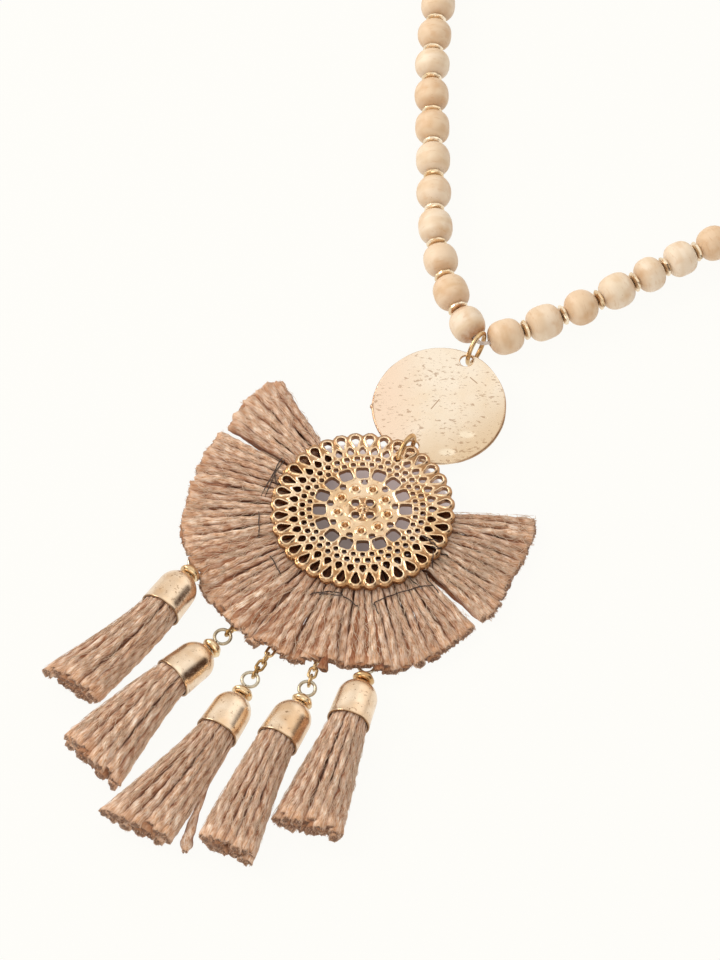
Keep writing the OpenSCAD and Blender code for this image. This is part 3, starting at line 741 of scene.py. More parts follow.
disc = {
    "at": (0.2, 33.4, 3.55), "tilt": 5.5, "radius": 14.85, "thickness": 1.0, "hole": 1.45,
    "holes": [(-0.2, 12.8), (-0.2, -12.0)], "voxel": 0.21, "smoothing": 3, "kept": 1,
    # slightly out of round, as hammering leaves it: how much, how often and from where
    "steps": 200, "bulges": [(0.16, 2, 0.8), (0.13, 3, 2.1)], "ragged": 0.10,
    # hammer blows that stand out in the photo: place on the disc, radius and depth
    "blows": [(9.0, -3.5, 2.3, 0.20), (7.4, -9.4, 2.4, 0.20), (8.3, -0.9, 1.9, -0.16),
              (4.5, -6.6, 2.0, 0.08)],
    "nub": (-13.1, -7.3, 0), "nubRadius": 0.6,
    # how high the sheet waves, how often to a millimetre, and which part of the noise
    "waves": [(0.06, 0.16, 2), (0.025, 0.42, 7)],
    "dip": 0.55, "dipWay": (0.82, -0.57), "dipFrom": 3.5, "dipOver": 12,  # the side that dips a little
    "rim": 0.28, "soft": 0.2, "holeDark": 0.7, "fleck": (0.25, 0.5), "dark": 0.75,
    # painted highlights on two dents, with x along the picture and y away from it
    "bright": [(6.0, -7.5), (1.7, -11.8)],
    # fine scratches in the plating, from and to, in the same directions
    "scratches": [(0.0, 1.3, -1.8, -1.0), (7.0, 6.7, 8.5, 5.2)],
    "centre": (0.0002, -0.1082, 0.0),
}


def hammeredMaterial():
    # champagne plate on hammered brass sheet: small shallow pits drawn out along the sheet, with painted
    # shade in them, peach at one side, tan towards the lower right as painted shade where the sheet curves
    # away, and painted highlights on two dents by the edge
    material, add, dress = newMaterial("hammered champagne plate")
    place = add("TexCoord", out="Object")
    turned = add("Mapping", {"vector_type": "TEXTURE"}, {
        "Vector": place, "Location": disc["centre"], "Rotation": (0, 0, math.radians(shot["azimuth"]))})
    scaled = add("VectorMath", scaledBy, {0: turned, "Scale": 1000.0})
    across = add("SeparateXYZ", {}, {0: scaled}, out="X")
    drift = add("TexNoise", {}, {"Vector": scaled, "Scale": 0.13, "Detail": 3})
    colour = add("ValToRGB", {}, {0: drift}, [(0.35, "#F5E2C9"), (0.60, "#FAECD9")])
    left = add("MapRange", smoothly, {"Value": across, "From Min": -1, "From Max": -13})
    # painted shade: tan towards the lower right, where the sheet curves away from the light
    slope = add("VectorMath", dot, {0: scaled, 1: (0.55, -0.83, 0.0)}, out="Value")
    low = add("MapRange", smoothly, {"Value": slope, "From Min": 1.0, "From Max": 14.0, "To Max": 0.75})
    tints = [(left, "#F8DFC8"), (low, "#DFC19A")]
    # painted highlights: a pale oval on each of two dents
    for x, y in disc["bright"]:
        offset = add("VectorMath", minus, {0: scaled, 1: (x, y, 0)})
        oval = add("VectorMath", times, {0: offset, 1: (0.42, 0.85, 0.0)})
        away = add("VectorMath", {"operation": "LENGTH"}, {0: oval}, out="Value")
        near = add("MapRange", smoothly, {"Value": away, "From Min": 1.0, "From Max": 0.45, "To Max": 0.9})
        tints.append((near, "#FBEBD2"))

    drawn = add("VectorMath", times, {0: scaled, 1: (0.6, 1.3, 1.0)})
    crowd = add("TexNoise", {}, {"Vector": scaled, "Scale": 0.2, "Detail": 1})
    pits = 0.0
    for scale, least, full, most in ((1.25, 0.70, 0.79, 1.0), (2.6, 0.75, 0.83, 0.7)):
        marks = add("TexNoise", {}, {"Vector": drawn, "Scale": scale, "Detail": 2, "Roughness": 0.6})
        marks = add("Math", timesAdd, {0: crowd, 1: 0.22, 2: marks})
        sunk = add("MapRange", smoothly,
                   {"Value": marks, "From Min": least, "From Max": full, "To Max": most})
        pits = add("Math", greatest, {0: pits, 1: sunk})
    edge = add("Attribute", {"attribute_name": "edgeDark"}, out="Fac")
    for x, y, toX, toY in disc["scratches"]:
        run = Vector((toX - x, toY - y, 0))
        start = add("VectorMath", minus, {0: scaled, 1: (x, y, 0)})
        flat = add("VectorMath", times, {0: start, 1: (1, 1, 0)})
        along = add("VectorMath", dot, {0: flat, 1: run / run.length_squared}, out="Value")
        along = add("Math", {"operation": "ADD", "use_clamp": True}, {0: along, 1: 0.0})
        nearest = add("VectorMath", scaledBy, {0: run, "Scale": along})
        off = add("VectorMath", {"operation": "DISTANCE"}, {0: flat, 1: nearest}, out="Value")
        line = add("MapRange", {}, {"Value": off, "From Min": 0.16, "From Max": 0.04, "To Max": 0.8})
        edge = add("Math", greatest, {0: edge, 1: line})
    # painted shade in the hammer pits, joined with the darker rim and hole edges and the scratches
    shade = add("Math", times, {0: pits, 1: 0.5})
    shade = add("Math", greatest, {0: shade, 1: edge})
    for share, tint in tints + [(shade, "#94653C")]:
        colour = add("Mix", rgba, {0: share, 6: colour, 7: tint}, out=2)
    swell = add("TexNoise", {}, {"Vector": scaled, "Scale": 0.5, "Detail": 2})
    relief = add("Math", timesAdd, {0: pits, 1: -0.7, 2: swell})
    bump = add("Bump", {}, {"Strength": 0.45, "Distance": 0.00006, "Height": relief})
    dress({"Base Color": colour, "Normal": bump, "Metallic": 1.0, "Roughness": 0.27})
    return material


def makeDisc():
    d = disc
    outline = []
    for k in range(d["steps"]):
        a = math.tau * k / d["steps"]
        r = d["radius"] + sum(most * math.sin(count * a + start) for most, count, start in d["bulges"])
        r += d["ragged"] * noise.noise(Vector((math.cos(a) * 3, math.sin(a) * 3, 5)))
        outline.append((r * math.cos(a), r * math.sin(a)))
    outlines = [outline] + [circlePoints(x, y, d["hole"], 40) for x, y in d["holes"]]
    bm = platedShape(outlines, d, [ball(bmesh.new(), d["nubRadius"], d["nub"], 12, 8)])
    place = pendant @ Matrix.Translation(d["at"]) @ Matrix.Rotation(math.radians(d["tilt"]), 4, "X")
    edges = []
    for vert in bm.verts:
        x, y = vert.co.xy
        rise = sum(high * noise.noise(Vector((x * scale, y * scale, part)))
                   for high, scale, part in d["waves"])
        for bx, by, size, depth in d["blows"]:
            away = math.hypot(x - bx, y - by) / size
            if away < 1:
                rise -= depth * (1 - away * away) ** 2
        rise -= d["dip"] * ease((d["dipWay"][0] * x + d["dipWay"][1] * y - d["dipFrom"]) / d["dipOver"])
        rim = ease((math.hypot(x, y) - d["radius"] + d["rim"]) / d["soft"])
        holes = max(ease(1 - (math.hypot(x - hx, y - hy) - d["hole"]) / d["soft"]) for hx, hy in d["holes"])
        fleck = d["fleck"][0] * noise.noise(Vector((x * d["fleck"][1], y * d["fleck"][1], 1)))
        edges.append(min(1.0, max(0.0, max(rim, d["holeDark"] * holes) * (d["dark"] + fleck))))
        vert.co.z += rise
        vert.co = place @ vert.co
    finishPiece("hammered_plate", bm, hammeredMaterial(), ["hammered_disc"],
                {"edgeDark": edges})


makeDisc()
print("rings and hammered disc")


filigree = {
    "radius": 20.4, "thickness": 1.4, "rimZ": 4.55, "scallop": 1.9, "drops": 36,
    "voxel": 0.178, "smoothing": 2, "kept": 0.6, "nudge": (-0.08, -0.3),
    "dropAt": 18.45, "dropR": 0.95, "dropTip": 2.7, "dropTurn": 5,
    "secondAt": 15.2, "secondR": 0.82, "secondTip": 1.5,
    "smallRows": [(13.3, 0.68, 5), (11.75, 0.61, 0)],  # radius of the row and of a hole, first angle
    "windows": 16, "windowAt": 9.5, "windowW": 2.95, "windowTurn": 7.5, "corner": 0.8,
    "leaves": 9, "leafAt": 7.25, "leafR": 0.78, "leafTurn": 26.5,
    "dimpleAt": 5.6, "dimpleR": 0.98, "dimpleTurn": 6.5, "cupR": 0.68, "cupDepth": 0.7,
    "petals": 4, "petalAt": 2.25, "petalR": 0.9, "petalTurn": 75,
    # raised wires: how far outside the hole, how far over the plate, and their radius
    "lips": {"drops": (0.17, 0.16, 0.23), "second": (0.12, 0.15, 0.2), "small": (0.1, 0.12, 0.19),
             "windows": (0.1, 0.12, 0.2), "leaves": (0.12, 0.02, 0.18), "dimples": (0, 0.12, 0.27),
             "petals": (0.22, 0.2, 0.26)},
    "curlAt": 3.4, "curlPoint": 0.65, "curlWaist": 0.2, "curlTurn": 120,
    "bossR": 0.62, "bossUp": 0.35, "budAt": 1.0, "budR": 0.4, "budUp": 0.3,
    # beads of overcast metal along the rim: from and to angle, how many, place and size
    "lumps": (60, 190, 30), "lumpAt": (19.9, 20.35), "lumpR": (0.25, 0.38), "lumpUp": (0.1, 0.6),
}


def dropOutline(r, tip, steps=20):  # round at +y, pointed at -y
    turns = [math.radians(-28 + 236 * k / steps) for k in range(steps + 1)]
    side = (0.32 * r, -tip * 0.72)
    return [(r * math.cos(a), r * math.sin(a)) for a in turns] + [(-side[0], side[1]), (0, -tip), side]


def squareOutline(width, corner):
    points = []
    for quarter, (sx, sy) in enumerate(((1, 1), (-1, 1), (-1, -1), (1, -1))):
        for k in range(5):
            a = math.radians(quarter * 90 + k * 22.5)
            points.append((sx * (width / 2 - corner) + corner * math.cos(a),
                           sy * (width / 2 - corner) + corner * math.sin(a)))
    return points


def rowOf(points, radius, count, first, flip=1):  # the same hole all round, in degrees from +y
    row = []
    for i in range(count):
        a = math.radians(first + i * 360 / count)
        row.append([(x * math.cos(a) - (y * flip + radius) * math.sin(a),
                     x * math.sin(a) + (y * flip + radius) * math.cos(a)) for x, y in points])
    return row


def grownOutline(points, amount):  # each point moved away from the middle of its hole
    cx = sum(x for x, y in points) / len(points)
    cy = sum(y for x, y in points) / len(points)
    shares = [1 + amount / math.hypot(x - cx, y - cy) for x, y in points]
    return [(cx + (x - cx) * share, cy + (y - cy) * share) for (x, y), share in zip(points, shares)]


def makeFiligree():
    f = filigree
    top, step, centre = f["thickness"] / 2, 360 / f["drops"], f["radius"] - f["scallop"]
    edge = []
    for i in range(f["drops"]):
        for k in range(9):
            b = math.radians(step * (k / 9 - 0.5))
            r = centre * math.cos(b) + math.sqrt(max(0, f["scallop"] ** 2 - (centre * math.sin(b)) ** 2))
            a = math.radians((i + 0.5) * step) + b
            edge.append((-r * math.sin(a), r * math.cos(a)))
    rows = {
        "drops": rowOf(dropOutline(f["dropR"], f["dropTip"]), f["dropAt"], f["drops"], f["dropTurn"]),
        "second": rowOf(dropOutline(f["secondR"], f["secondTip"]), f["secondAt"], f["drops"], 0, -1),
        "small": [hole for at, r, first in f["smallRows"]
                  for hole in rowOf(circlePoints(0, 0, r, 12), at, f["drops"], first)],
        "windows": rowOf(squareOutline(f["windowW"], f["corner"]), f["windowAt"], f["windows"],
                         f["windowTurn"]),
        "leaves": rowOf(circlePoints(0, 0, f["leafR"], 14), f["leafAt"], f["leaves"], f["leafTurn"]),
        "petals": rowOf(circlePoints(0, 0, f["petalR"], 14), f["petalAt"], f["petals"], f["petalTurn"]),
    }
    dimples = rowOf(circlePoints(0, 0, f["dimpleR"], 18), f["dimpleAt"], f["leaves"], f["dimpleTurn"])
    extra = []
    for kind, (grown, high, radius) in f["lips"].items():  # a raised wire of metal round each hole
        extra.append(wireLoops([[(x, y, top + high) for x, y in grownOutline(points, grown)]
                                for points in dict(rows, dimples=dimples)[kind]], radius))
    curl = []  # the outer line of the flower, drawn out to a point at two sides
    for k in range(60):
        across = abs(math.cos(math.radians(6 * k - f["curlTurn"])))
        far = f["curlAt"] + f["curlPoint"] * across ** 8 - f["curlWaist"] * (1 - across) ** 2
        curl += rowOf([(0, 0)], far, 1, 6 * k)[0]
    extra.append(wireLoops([[(x, y, top + 0.08) for x, y in curl]], 0.2))
    boss = ball(bmesh.new(), f["bossR"], (0, 0, top + f["bossUp"]), 16, 10)
    for (x, y), in rowOf([(0, 0)], f["budAt"], f["petals"], f["petalTurn"] + 45):
        ball(boss, f["budR"], (x, y, top + f["budUp"]), 12, 8)
    extra.append(boss)
    rng = random.Random(8)
    first, last, count = f["lumps"]
    for _ in range(count):
        a, r = math.radians(rng.uniform(first, last)), rng.uniform(*f["lumpAt"])
        radius, up = rng.uniform(*f["lumpR"]), rng.uniform(*f["lumpUp"])
        extra.append(ball(bmesh.new(), radius, (-r * math.sin(a), r * math.cos(a), up), 10, 6))
    bm = platedShape([edge] + [hole for row in rows.values() for hole in row], f, extra)
    cups = [cup for cup, in rowOf([(0, 0)], f["dimpleAt"], f["leaves"], f["dimpleTurn"])]
    patinas = []
    for vert in bm.verts:
        x, y, z = vert.co
        # the walls of the holes and the bottoms of the cups keep a brown patina
        out = math.hypot(x, y)
        patina = 0.8 * ease((top - 0.05 - z) / 0.4)
        if out > 8.1 or out < 3.2:
            patina = max(patina, 0.75 * ease((top + 0.22 - z) / 0.12))
        if out < 1.5:
            patina = max(patina, 0.55 - 0.4 * ease((z - top - 0.45) / 0.3))
        if z > 0:
            for cx, cy in cups:
                away = math.hypot(x - cx, y - cy) / f["cupR"]
                if away < 1:
                    z -= f["cupDepth"] * (1 - away * away)
                    patina = max(patina, 0.7 * ease((1 - away) / 0.4))
        patinas.append(patina)
        uneven = 0.03 * noise.noise(Vector((x, y, z)) * 0.8)
        if out > 17:  # the rim is lumpy
            uneven += 0.14 * (out - 17) / 3 * noise.noise(Vector((x, y, z)) * 1.3)
        vert.co = pendant @ Vector((x + f["nudge"][0], y + f["nudge"][1], z + f["rimZ"] + top + uneven))
    finishPiece("filigree_casting", bm, castGold, ["filigree_disc"], {"edgeDark": patinas})


makeFiligree()
print("filigree")


fan = {
    # how far the strands reach from the middle of the filigree, by angle from -y
    "outline": [(-124, 41), (-117, 42.3), (-110, 41), (-104, 39.8), (-99, 38.8), (-96, 39.3), (-83, 39.4),
                (-70, 39.4), (-57, 40.6), (-50, 40.5), (-46, 39.8), (-42, 39.7), (-38, 39.4), (-34, 39.9),
                (-30, 40.3), (-24, 39.2), (-21, 38.8), (-17, 40.2), (-11, 40.5), (-3, 39.9), (5, 40.1),
                (10, 40), (12, 38.6), (19, 37.7), (26, 38.9), (31, 38.5), (36, 39.2), (43, 39.5),
                (50, 38.8), (60, 37.7), (71, 36.7), (74, 36.5), (78, 37.5), (86, 36.6), (97, 36.2),
                (104, 36.7), (110, 37), (113, 38.2), (121, 38)],
    "bundles": [(-124, -98.4, 7), (-96.7, 71.3, 46), (73.8, 120.5, 13)],  # from, to, strands in a layer
    "height": 4.3, "inner": 13.3, "top": [(15, 4.3), (21, 4.3), (28, 3.8), (39, 2.6)],
    # the channels over the chains
    "tunnelFrom": 23.2, "tunnelHalf": 4.4, "tunnelSlope": 2.2, "tunnelZ": 2.815, "overTunnel": 1.45,
    "tassels": (-43, -15.3, -0.8, 14.3, 31), "clear": 0.12,
    # two dark ends by the eyes and four strands that close gaps: angle and end
    "strays": [(17.4, 40.6), (35.0, 39.9), (-11.7, 37.0), (-34.0, 37.5), (51.7, 36.5), (5.3, 37.0)],
    "strayStep": 2.3, "strayBounds": (-96, 71),
    # loose fibres: from and to angle, how many, how wildly they lie; then length, thickness, lift
    "hairs": [(-124, -98.5, 170, 0.35), (-96.5, 71.3, 1050, 0.38), (73.8, 120.3, 420, 0.65)],
    "hairFrom": 20.5, "hairLeast": 19.6, "hairLength": (1.2, 5.5), "hairR": (0.045, 0.08),
    "hairLift": (-0.12, 0.22),
    "width": {"upper": 1.06, "lower": 1.19}, "flare": 0.22, "flareFrom": 0.66,
    # a lower strand's higher tone is painted shade, as it lies under the upper layer
    "endSpread": (-0.8, 0.1), "tone": {"upper": (0.0, 0.4), "lower": (0.7, 1.0)},
    # up to hiddenTo from the middle, the strands get painted shadow under the filigree
    "wisps": {"upper": 14, "lower": 5}, "wispReach": 0.6, "hiddenTo": 19.3,
}


def polar(angle, r, z):
    a = math.radians(angle)
    return pendant @ Vector((r * math.sin(a), -r * math.cos(a), z))


def offTunnel(angle):
    return min(abs(angle - t) for t in fan["tassels"])


def fanTop(angle, r):
    base = between(r, fan["top"])
    reach = fan["tunnelHalf"] + 2 * fan["tunnelSlope"]
    near = max(0, 1 - (offTunnel(angle) / reach) ** 2)
    return base + near * max(0, fan["tunnelZ"] + fan["overTunnel"] - base)


def fanBottom(angle, r):
    if r < fan["tunnelFrom"]:
        return fan["clear"]
    raised = between(offTunnel(angle), [(fan["tunnelHalf"], fan["tunnelZ"]),
                                        (fan["tunnelHalf"] + fan["tunnelSlope"], fan["clear"])])
    return fan["clear"] + (raised - fan["clear"]) * ease((r - fan["tunnelFrom"]) / 2)


def fanStrand(middle, step, end, layer, rng, tone, bounds):
    width = spread(rng, 0.13)
    waves = (rng.uniform(0, math.tau), rng.uniform(0.1, 0.4), rng.uniform(-0.15, 0.10))
    bulge = (rng.uniform(0, math.tau), rng.uniform(0.03, 0.09))

    def course(t):
        r = fan["inner"] + (end - fan["inner"]) * t
        sway = waves[1] * math.sin(waves[0] + t * 7) * min(1, t * 2)
        half = 0.5 * math.radians(step) * r * width * (1 + bulge[1] * math.sin(bulge[0] + t * 19))
        half *= fan["width"][layer] + fan["flare"] * ease((t - fan["flareFrom"]) / (1 - fan["flareFrom"]))
        spare = math.degrees(half / r)
        angle = min(max(middle + math.degrees(sway / r), bounds[0] + spare), bounds[1] - spare)
        top, bottom = fanTop(angle, r), fanBottom(angle, r)
        if layer == "upper":
            high = min(half, 0.36 * fan["height"], 0.5 * (top - bottom))
            z = top - high + waves[2]
        else:
            high = min(half * 0.95, 0.30 * (top - bottom) + 0.2)
            z = bottom + high
        a = math.radians(angle)
        side = Vector((math.cos(a), math.sin(a), 0))
        return polar(angle, r, z), side, Vector((0, 0, 1)), half, high

    return course, {"plies": 2, "furrow": 0.17, "turns": 0.12 * spread(rng, 0.35), "rough": 0.14,
                    "ragged": 0.4, "tone": tone, "cut": 0.12, "shadow": 0.75,
                    "hidden": (fan["hiddenTo"] - fan["inner"]) / (end - fan["inner"])}


def fringe(target, blank, course, count, reach, rng, record):
    # short loose fibre ends that stick out of a cut strand
    centre, side, up, wide, high = course(1)
    forward = side.cross(up)
    forward = forward if forward.dot(centre - course(0.9)[0]) > 0 else -forward
    for _ in range(count):
        a, r = rng.uniform(0, math.tau), rng.uniform(0.35, 0.95)
        root = centre + side * (wide * r * math.cos(a)) + up * (high * r * math.sin(a)) - forward * 0.6
        way = forward + side * rng.uniform(-0.35, 0.35) + up * rng.uniform(-0.2, 0.25)
        tip = root + way * (0.6 + rng.uniform(0.15, 1.0) * reach)
        bend = root.lerp(tip, 0.5) + side * rng.uniform(-0.1, 0.1)
        hair = pathCourse([root, bend, tip], rng.uniform(0.06, 0.11), 0.7)
        layStrand(target, blank, hair, dict(hairLook, tone=rng.uniform(0, 0.25)), rng, record)


def makeFan():
    rng = random.Random(11)
    blank, wisp = strandBlank(14, 28), strandBlank(3, 3, cutFace=False)
    for layer in ("upper", "lower"):
        target, record = bmesh.new(), newRecord()
        for first, last, count in fan["bundles"]:
            step = (last - first) / count
            shift = 0.5 if layer == "upper" else 0.0
            for i in range(count if layer == "upper" else count + 1):
                middle = first + (i + shift) * step
                if layer == "lower":
                    middle = min(max(middle, first + step * 0.35), last - step * 0.35)
                middle += rng.uniform(-0.09, 0.09) * step
                end = between(middle, fan["outline"]) + rng.uniform(*fan["endSpread"])
                if layer == "lower":  # some of these ends show between the upper ones
                    end += 0.35 if -45 < middle < 62 and rng.random() < 0.4 else -0.3
                tone = rng.uniform(*fan["tone"][layer])
                course, look = fanStrand(middle, step, end, layer, rng, tone, (first, last))
                layStrand(target, blank, course, look, rng, record)
                fringe(target, wisp, course, fan["wisps"][layer], fan["wispReach"], rng, record)
        if layer == "lower":
            for middle, end in fan["strays"]:
                course, look = fanStrand(middle, fan["strayStep"], end, layer, rng, 1.0, fan["strayBounds"])
                layStrand(target, blank, course, dict(look, cut=0.03, furrow=0.25), rng, record)
        finishPiece("fan_" + layer + "_strands", target, jute, ["jute_fan"], record)


def makeFanHairs():  # pale single fibres that stand off the yarn and cross it
    rng = random.Random(29)
    blank = strandBlank(3, 5, cutFace=False)
    target, record = bmesh.new(), newRecord()
    for first, last, count, wild in fan["hairs"]:
        for _ in range(count):
            angle = rng.uniform(first, last)
            end = between(angle, fan["outline"]) - 0.3
            slant = rng.gauss(0, wild)
            length = fan["hairLength"][0] + fan["hairLength"][1] * rng.random() ** 2
            r = rng.uniform(fan["hairFrom"], end - 0.5)
            bow = rng.uniform(-0.12, 0.12) * length
            points = []
            for k in range(5):
                s = length * (k / 4 - 0.5)
                out = min(end, max(fan["hairLeast"], r + s * math.cos(slant)))
                turn = angle + math.degrees((s * math.sin(slant) + bow * (1 - (k / 2 - 1) ** 2)) / out)
                turn = min(last, max(first, turn))
                points.append(polar(turn, out, fanTop(turn, out) + rng.uniform(*fan["hairLift"])))
            course = pathCourse(points, rng.uniform(*fan["hairR"]), 0.6)
            layStrand(target, blank, course, hairLook, rng, record)
    finishPiece("fan_loose_fibres", target, fibreMaterial, [], record)


makeFan()
makeFanHairs()
print("fan")


# the dark hand stitches that hold the fan to the filigree
stitches = {
    "radius": 0.14, "over": 0.12, "overRim": 0.28, "shake": 0.08, "sink": 0.5,
    # places from the middle of the filigree; the height follows what lies below
    "paths": [
        [(-23.1, 3.6), (-22.5, -0.2), (-21.9, -7.6)], [(-22.2, 3.3), (-22.2, -0.5), (-21.0, -7.1)],
        [(-22.4, -0.6), (-20.9, -2.7), (-19.9, -3.3), (-18.6, -4.1)],
        [(-20.3, -10.9), (-18.6, -13.9), (-16.7, -16.9)],
        [(-12.6, -19.6), (-10.1, -21.2), (-7.4, -23.1)],
        [(0.4, -24.1), (1.6, -22.9), (3.5, -21.5), (5.3, -20.8), (6.7, -20.4)],
        [(1.7, -23.1), (4.2, -22.0), (6.7, -20.9), (8.8, -21.1), (10.5, -21.6), (11.2, -21.4)],
        [(13.8, -19.6), (13.6, -18.8), (15.3, -16.3), (17.9, -13.0), (20.0, -10.6), (22.4, -8.6),
         (24.4, -9.6)],
        [(13.7, -19.0), (15.0, -20.4), (16.0, -21.0)],
        [(17.1, -10.0), (20.2, -10.4)], [(19.3, -6.4), (20.9, -8.2), (22.5, -8.6)],
        [(14.0, 0.3), (15.8, -0.1), (17.9, -0.4), (20.0, -0.9), (21.5, -0.3)],
        [(18.6, -1.8), (19.4, -3.4), (20.0, -4.6)], [(15.1, 0.3), (16.8, 0.3), (18.5, 0.8)],
        [(17.3, -1.1), (19.2, -1.2), (19.7, -0.3)],
    ],
}


def stitchHeight(x, y):
    out = math.hypot(x, y)
    if out < filigree["radius"] - 0.4:
        return filigree["rimZ"] + filigree["thickness"] + stitches["overRim"]
    return fanTop(math.degrees(math.atan2(x, -y)), out) + stitches["over"]


def makeStitches():
    rng, shake = random.Random(6), stitches["shake"]
    target, record = bmesh.new(), newRecord()
    for path in stitches["paths"]:
        points = []
        for (ax, ay), (bx, by) in zip(path, path[1:]):
            for k in range(3):
                points.append((ax + (bx - ax) * k / 3, ay + (by - ay) * k / 3))
        points.append(path[-1])
        points = [pendant @ Vector((x + rng.uniform(-shake, shake), y + rng.uniform(-shake, shake),
                                    stitchHeight(x, y))) for x, y in points]
        points[0].z -= stitches["sink"]
        points[-1].z -= stitches["sink"]
        layStrand(target, strandBlank(6, 7 * len(path)), pathCourse(points, stitches["radius"]),
                  dict(cordLook, turns=0.7), rng, record)
    finishPiece("dark_stitches", target, stitchThread, [], record)


makeStitches()
print("stitches")


tassel = {
    # eye angle, eye radius, cap direction, skirt bend, half width of the cut end, how much longer
    "list": [(-43, 38.2, -1, -13.5, 7.5, -1.5), (-15.3, 43.1, -8.5, -3.5, 9, -0.5),
             (-0.8, 47.9, 6, -13.9, 8.7, 1), (14.3, 45.1, 6, 2, 6.9, 0.5), (31, 37.6, 17, -7, 8, 0)],
    "moved": [(-1.0, 1.24, -1.5), (-0.75, 1.75, -7.9), (-0.45, 0.85, -3.4), (-0.9, 1.23, -3.1),
              (-0.6, 0.75, -3.4)],  # each cap, along and across, and turned on the floor
    "eyeR": 1.78, "wire": 0.76, "eyeZ": 1.865, "eyeTilt": 15,
    "tilt": 3, "rimZ": 4.83,  # a cap lies nearly level, on its rim
    "collarFrom": 4.4, "collarL": 2.0, "collarD": 4.8,
    "capFrom": 6.5, "capDome": 4.45, "capL": 10.8, "capD": 9.5, "wall": 0.45,
    "skirtL": 25.7, "endH": 3.2, "fit": 0.1,
    # the strand that stands away from tassel 3
    "stray": [(3.5, -70.2, 3.4), (5.4, -77.7, 2.6), (6.4, -82.6, 2.0), (7.7, -87.6, 1.7),
              (8.9, -91.0, 1.6)],
    "outer": 17, "inner": 11, "clear": 0.12, "inCap": 0.2, "flare": 0.3, "flareFrom": 0.62,
    "hairs": 270, "hairLength": (1.2, 6), "hairR": (0.045, 0.08), "hairLift": (-0.05, 0.22),
    "hairWild": 0.32, "wisps": 10, "wispReach": 0.5, "hole": 0.94, "eyeSteps": 36, "eyeTurn": 350,
    "lip": 0.3, "wobble": 0.07, "dent": 0.12,  # the cap's lip, darkened with painted shade, its and the collar's waviness
}


def tasselPlace(t):  # the eye's place over the floor, turned so that x runs along the tassel
    return Matrix.Translation(polar(t[0], t[1], 0)) @ Matrix.Rotation(math.radians(t[2] - 90), 4, "Z")


def capPlace(t):
    s = tassel
    along, across, turn = s["moved"][s["list"].index(t)]
    tilt = math.radians(s["tilt"])
    height = s["rimZ"] - (s["capFrom"] + s["capL"]) * math.sin(tilt)
    return (tasselPlace(t) @ Matrix.Translation((along, across, height))
            @ Matrix.Rotation(math.radians(turn), 4, "Z") @ Matrix.Rotation(-tilt, 4, "Y"))


def skirtSection(t, u):  # place along the axis, half width, half height, sideways shift, drop
    s = tassel
    tilt = math.radians(s["tilt"])
    along, across, turn = s["moved"][s["list"].index(t)]
    turn = math.radians(turn)
    length = s["skirtL"] + t[5] - along
    full = s["capD"] / 2 - s["wall"] - s["fit"]
    v = max(0, u)  # below 0 it is still inside the cap
    if u < 0:
        inside = between(s["capL"] + u * length, [(0, 2), (s["capDome"], s["capDome"] - s["wall"]),
                                                  (s["capL"], s["capD"] / 2 - s["wall"])]) - s["fit"]
        wide = high = inside
    else:
        wide = full + (t[4] - full) * v
        high = full + (s["endH"] - full) * v
    drop = -(length * math.sin(tilt) + s["rimZ"] - s["endH"] - s["clear"]) / math.cos(tilt) * v ** 1.12
    mouth = across + (s["capFrom"] + s["capL"]) * math.sin(turn)
    bend = length * math.tan(math.radians(t[3])) - mouth
    shift = (bend * math.cos(turn) - length * math.sin(turn)) * v ** 1.3
    return s["capFrom"] + s["capL"] + u * length, wide, high, shift, drop


def skirtStrand(t, place, around, reach, rng, tone):
    turn = place.to_3x3()
    width = spread(rng, 0.14)
    longer = rng.uniform(-0.045, 0.015)
    waves = (rng.uniform(0, math.tau), rng.uniform(0.03, 0.2), rng.uniform(-0.08, 0.03))
    bulge = (rng.uniform(0, math.tau), rng.uniform(0.02, 0.07))

    def course(share):
        u = (1 + tassel["inCap"] + longer) * share - tassel["inCap"]
        x, wide, high, shift, drop = skirtSection(t, u)
        girth = math.pi * (3 * (wide + high) - math.sqrt((3 * wide + high) * (wide + 3 * high)))
        half = girth / tassel["outer"] / 2 * 1.04 * width * (1 + bulge[1] * math.sin(bulge[0] + 22 * share))
        flare = ease((share - tassel["flareFrom"]) / (1 - tassel["flareFrom"]))
        half = min(half, 0.36 * min(wide, high)) * (1 + tassel["flare"] * flare)
        a = around + waves[1] / wide * math.sin(waves[0] + 6 * share) * min(1, max(0, u) * 2)
        inset = half * 0.95 - waves[2] * min(1, max(0, u) * 3)
        y = (wide - inset) * reach * math.cos(a)
        z = (high - inset) * reach * math.sin(a)
        centre = Vector((x, y + shift, z + drop))
        out = Vector((0, math.cos(a), math.sin(a)))
        side = Vector((0, -math.sin(a), math.cos(a)))
        return place @ centre, turn @ side, turn @ out, half, half * 0.95

    return course, {"plies": 2, "furrow": 0.19, "turns": 0.12 * spread(rng, 0.3), "rough": 0.13,
                    "ragged": 0.45, "tone": tone, "cut": 0.09, "shadow": 0.8}


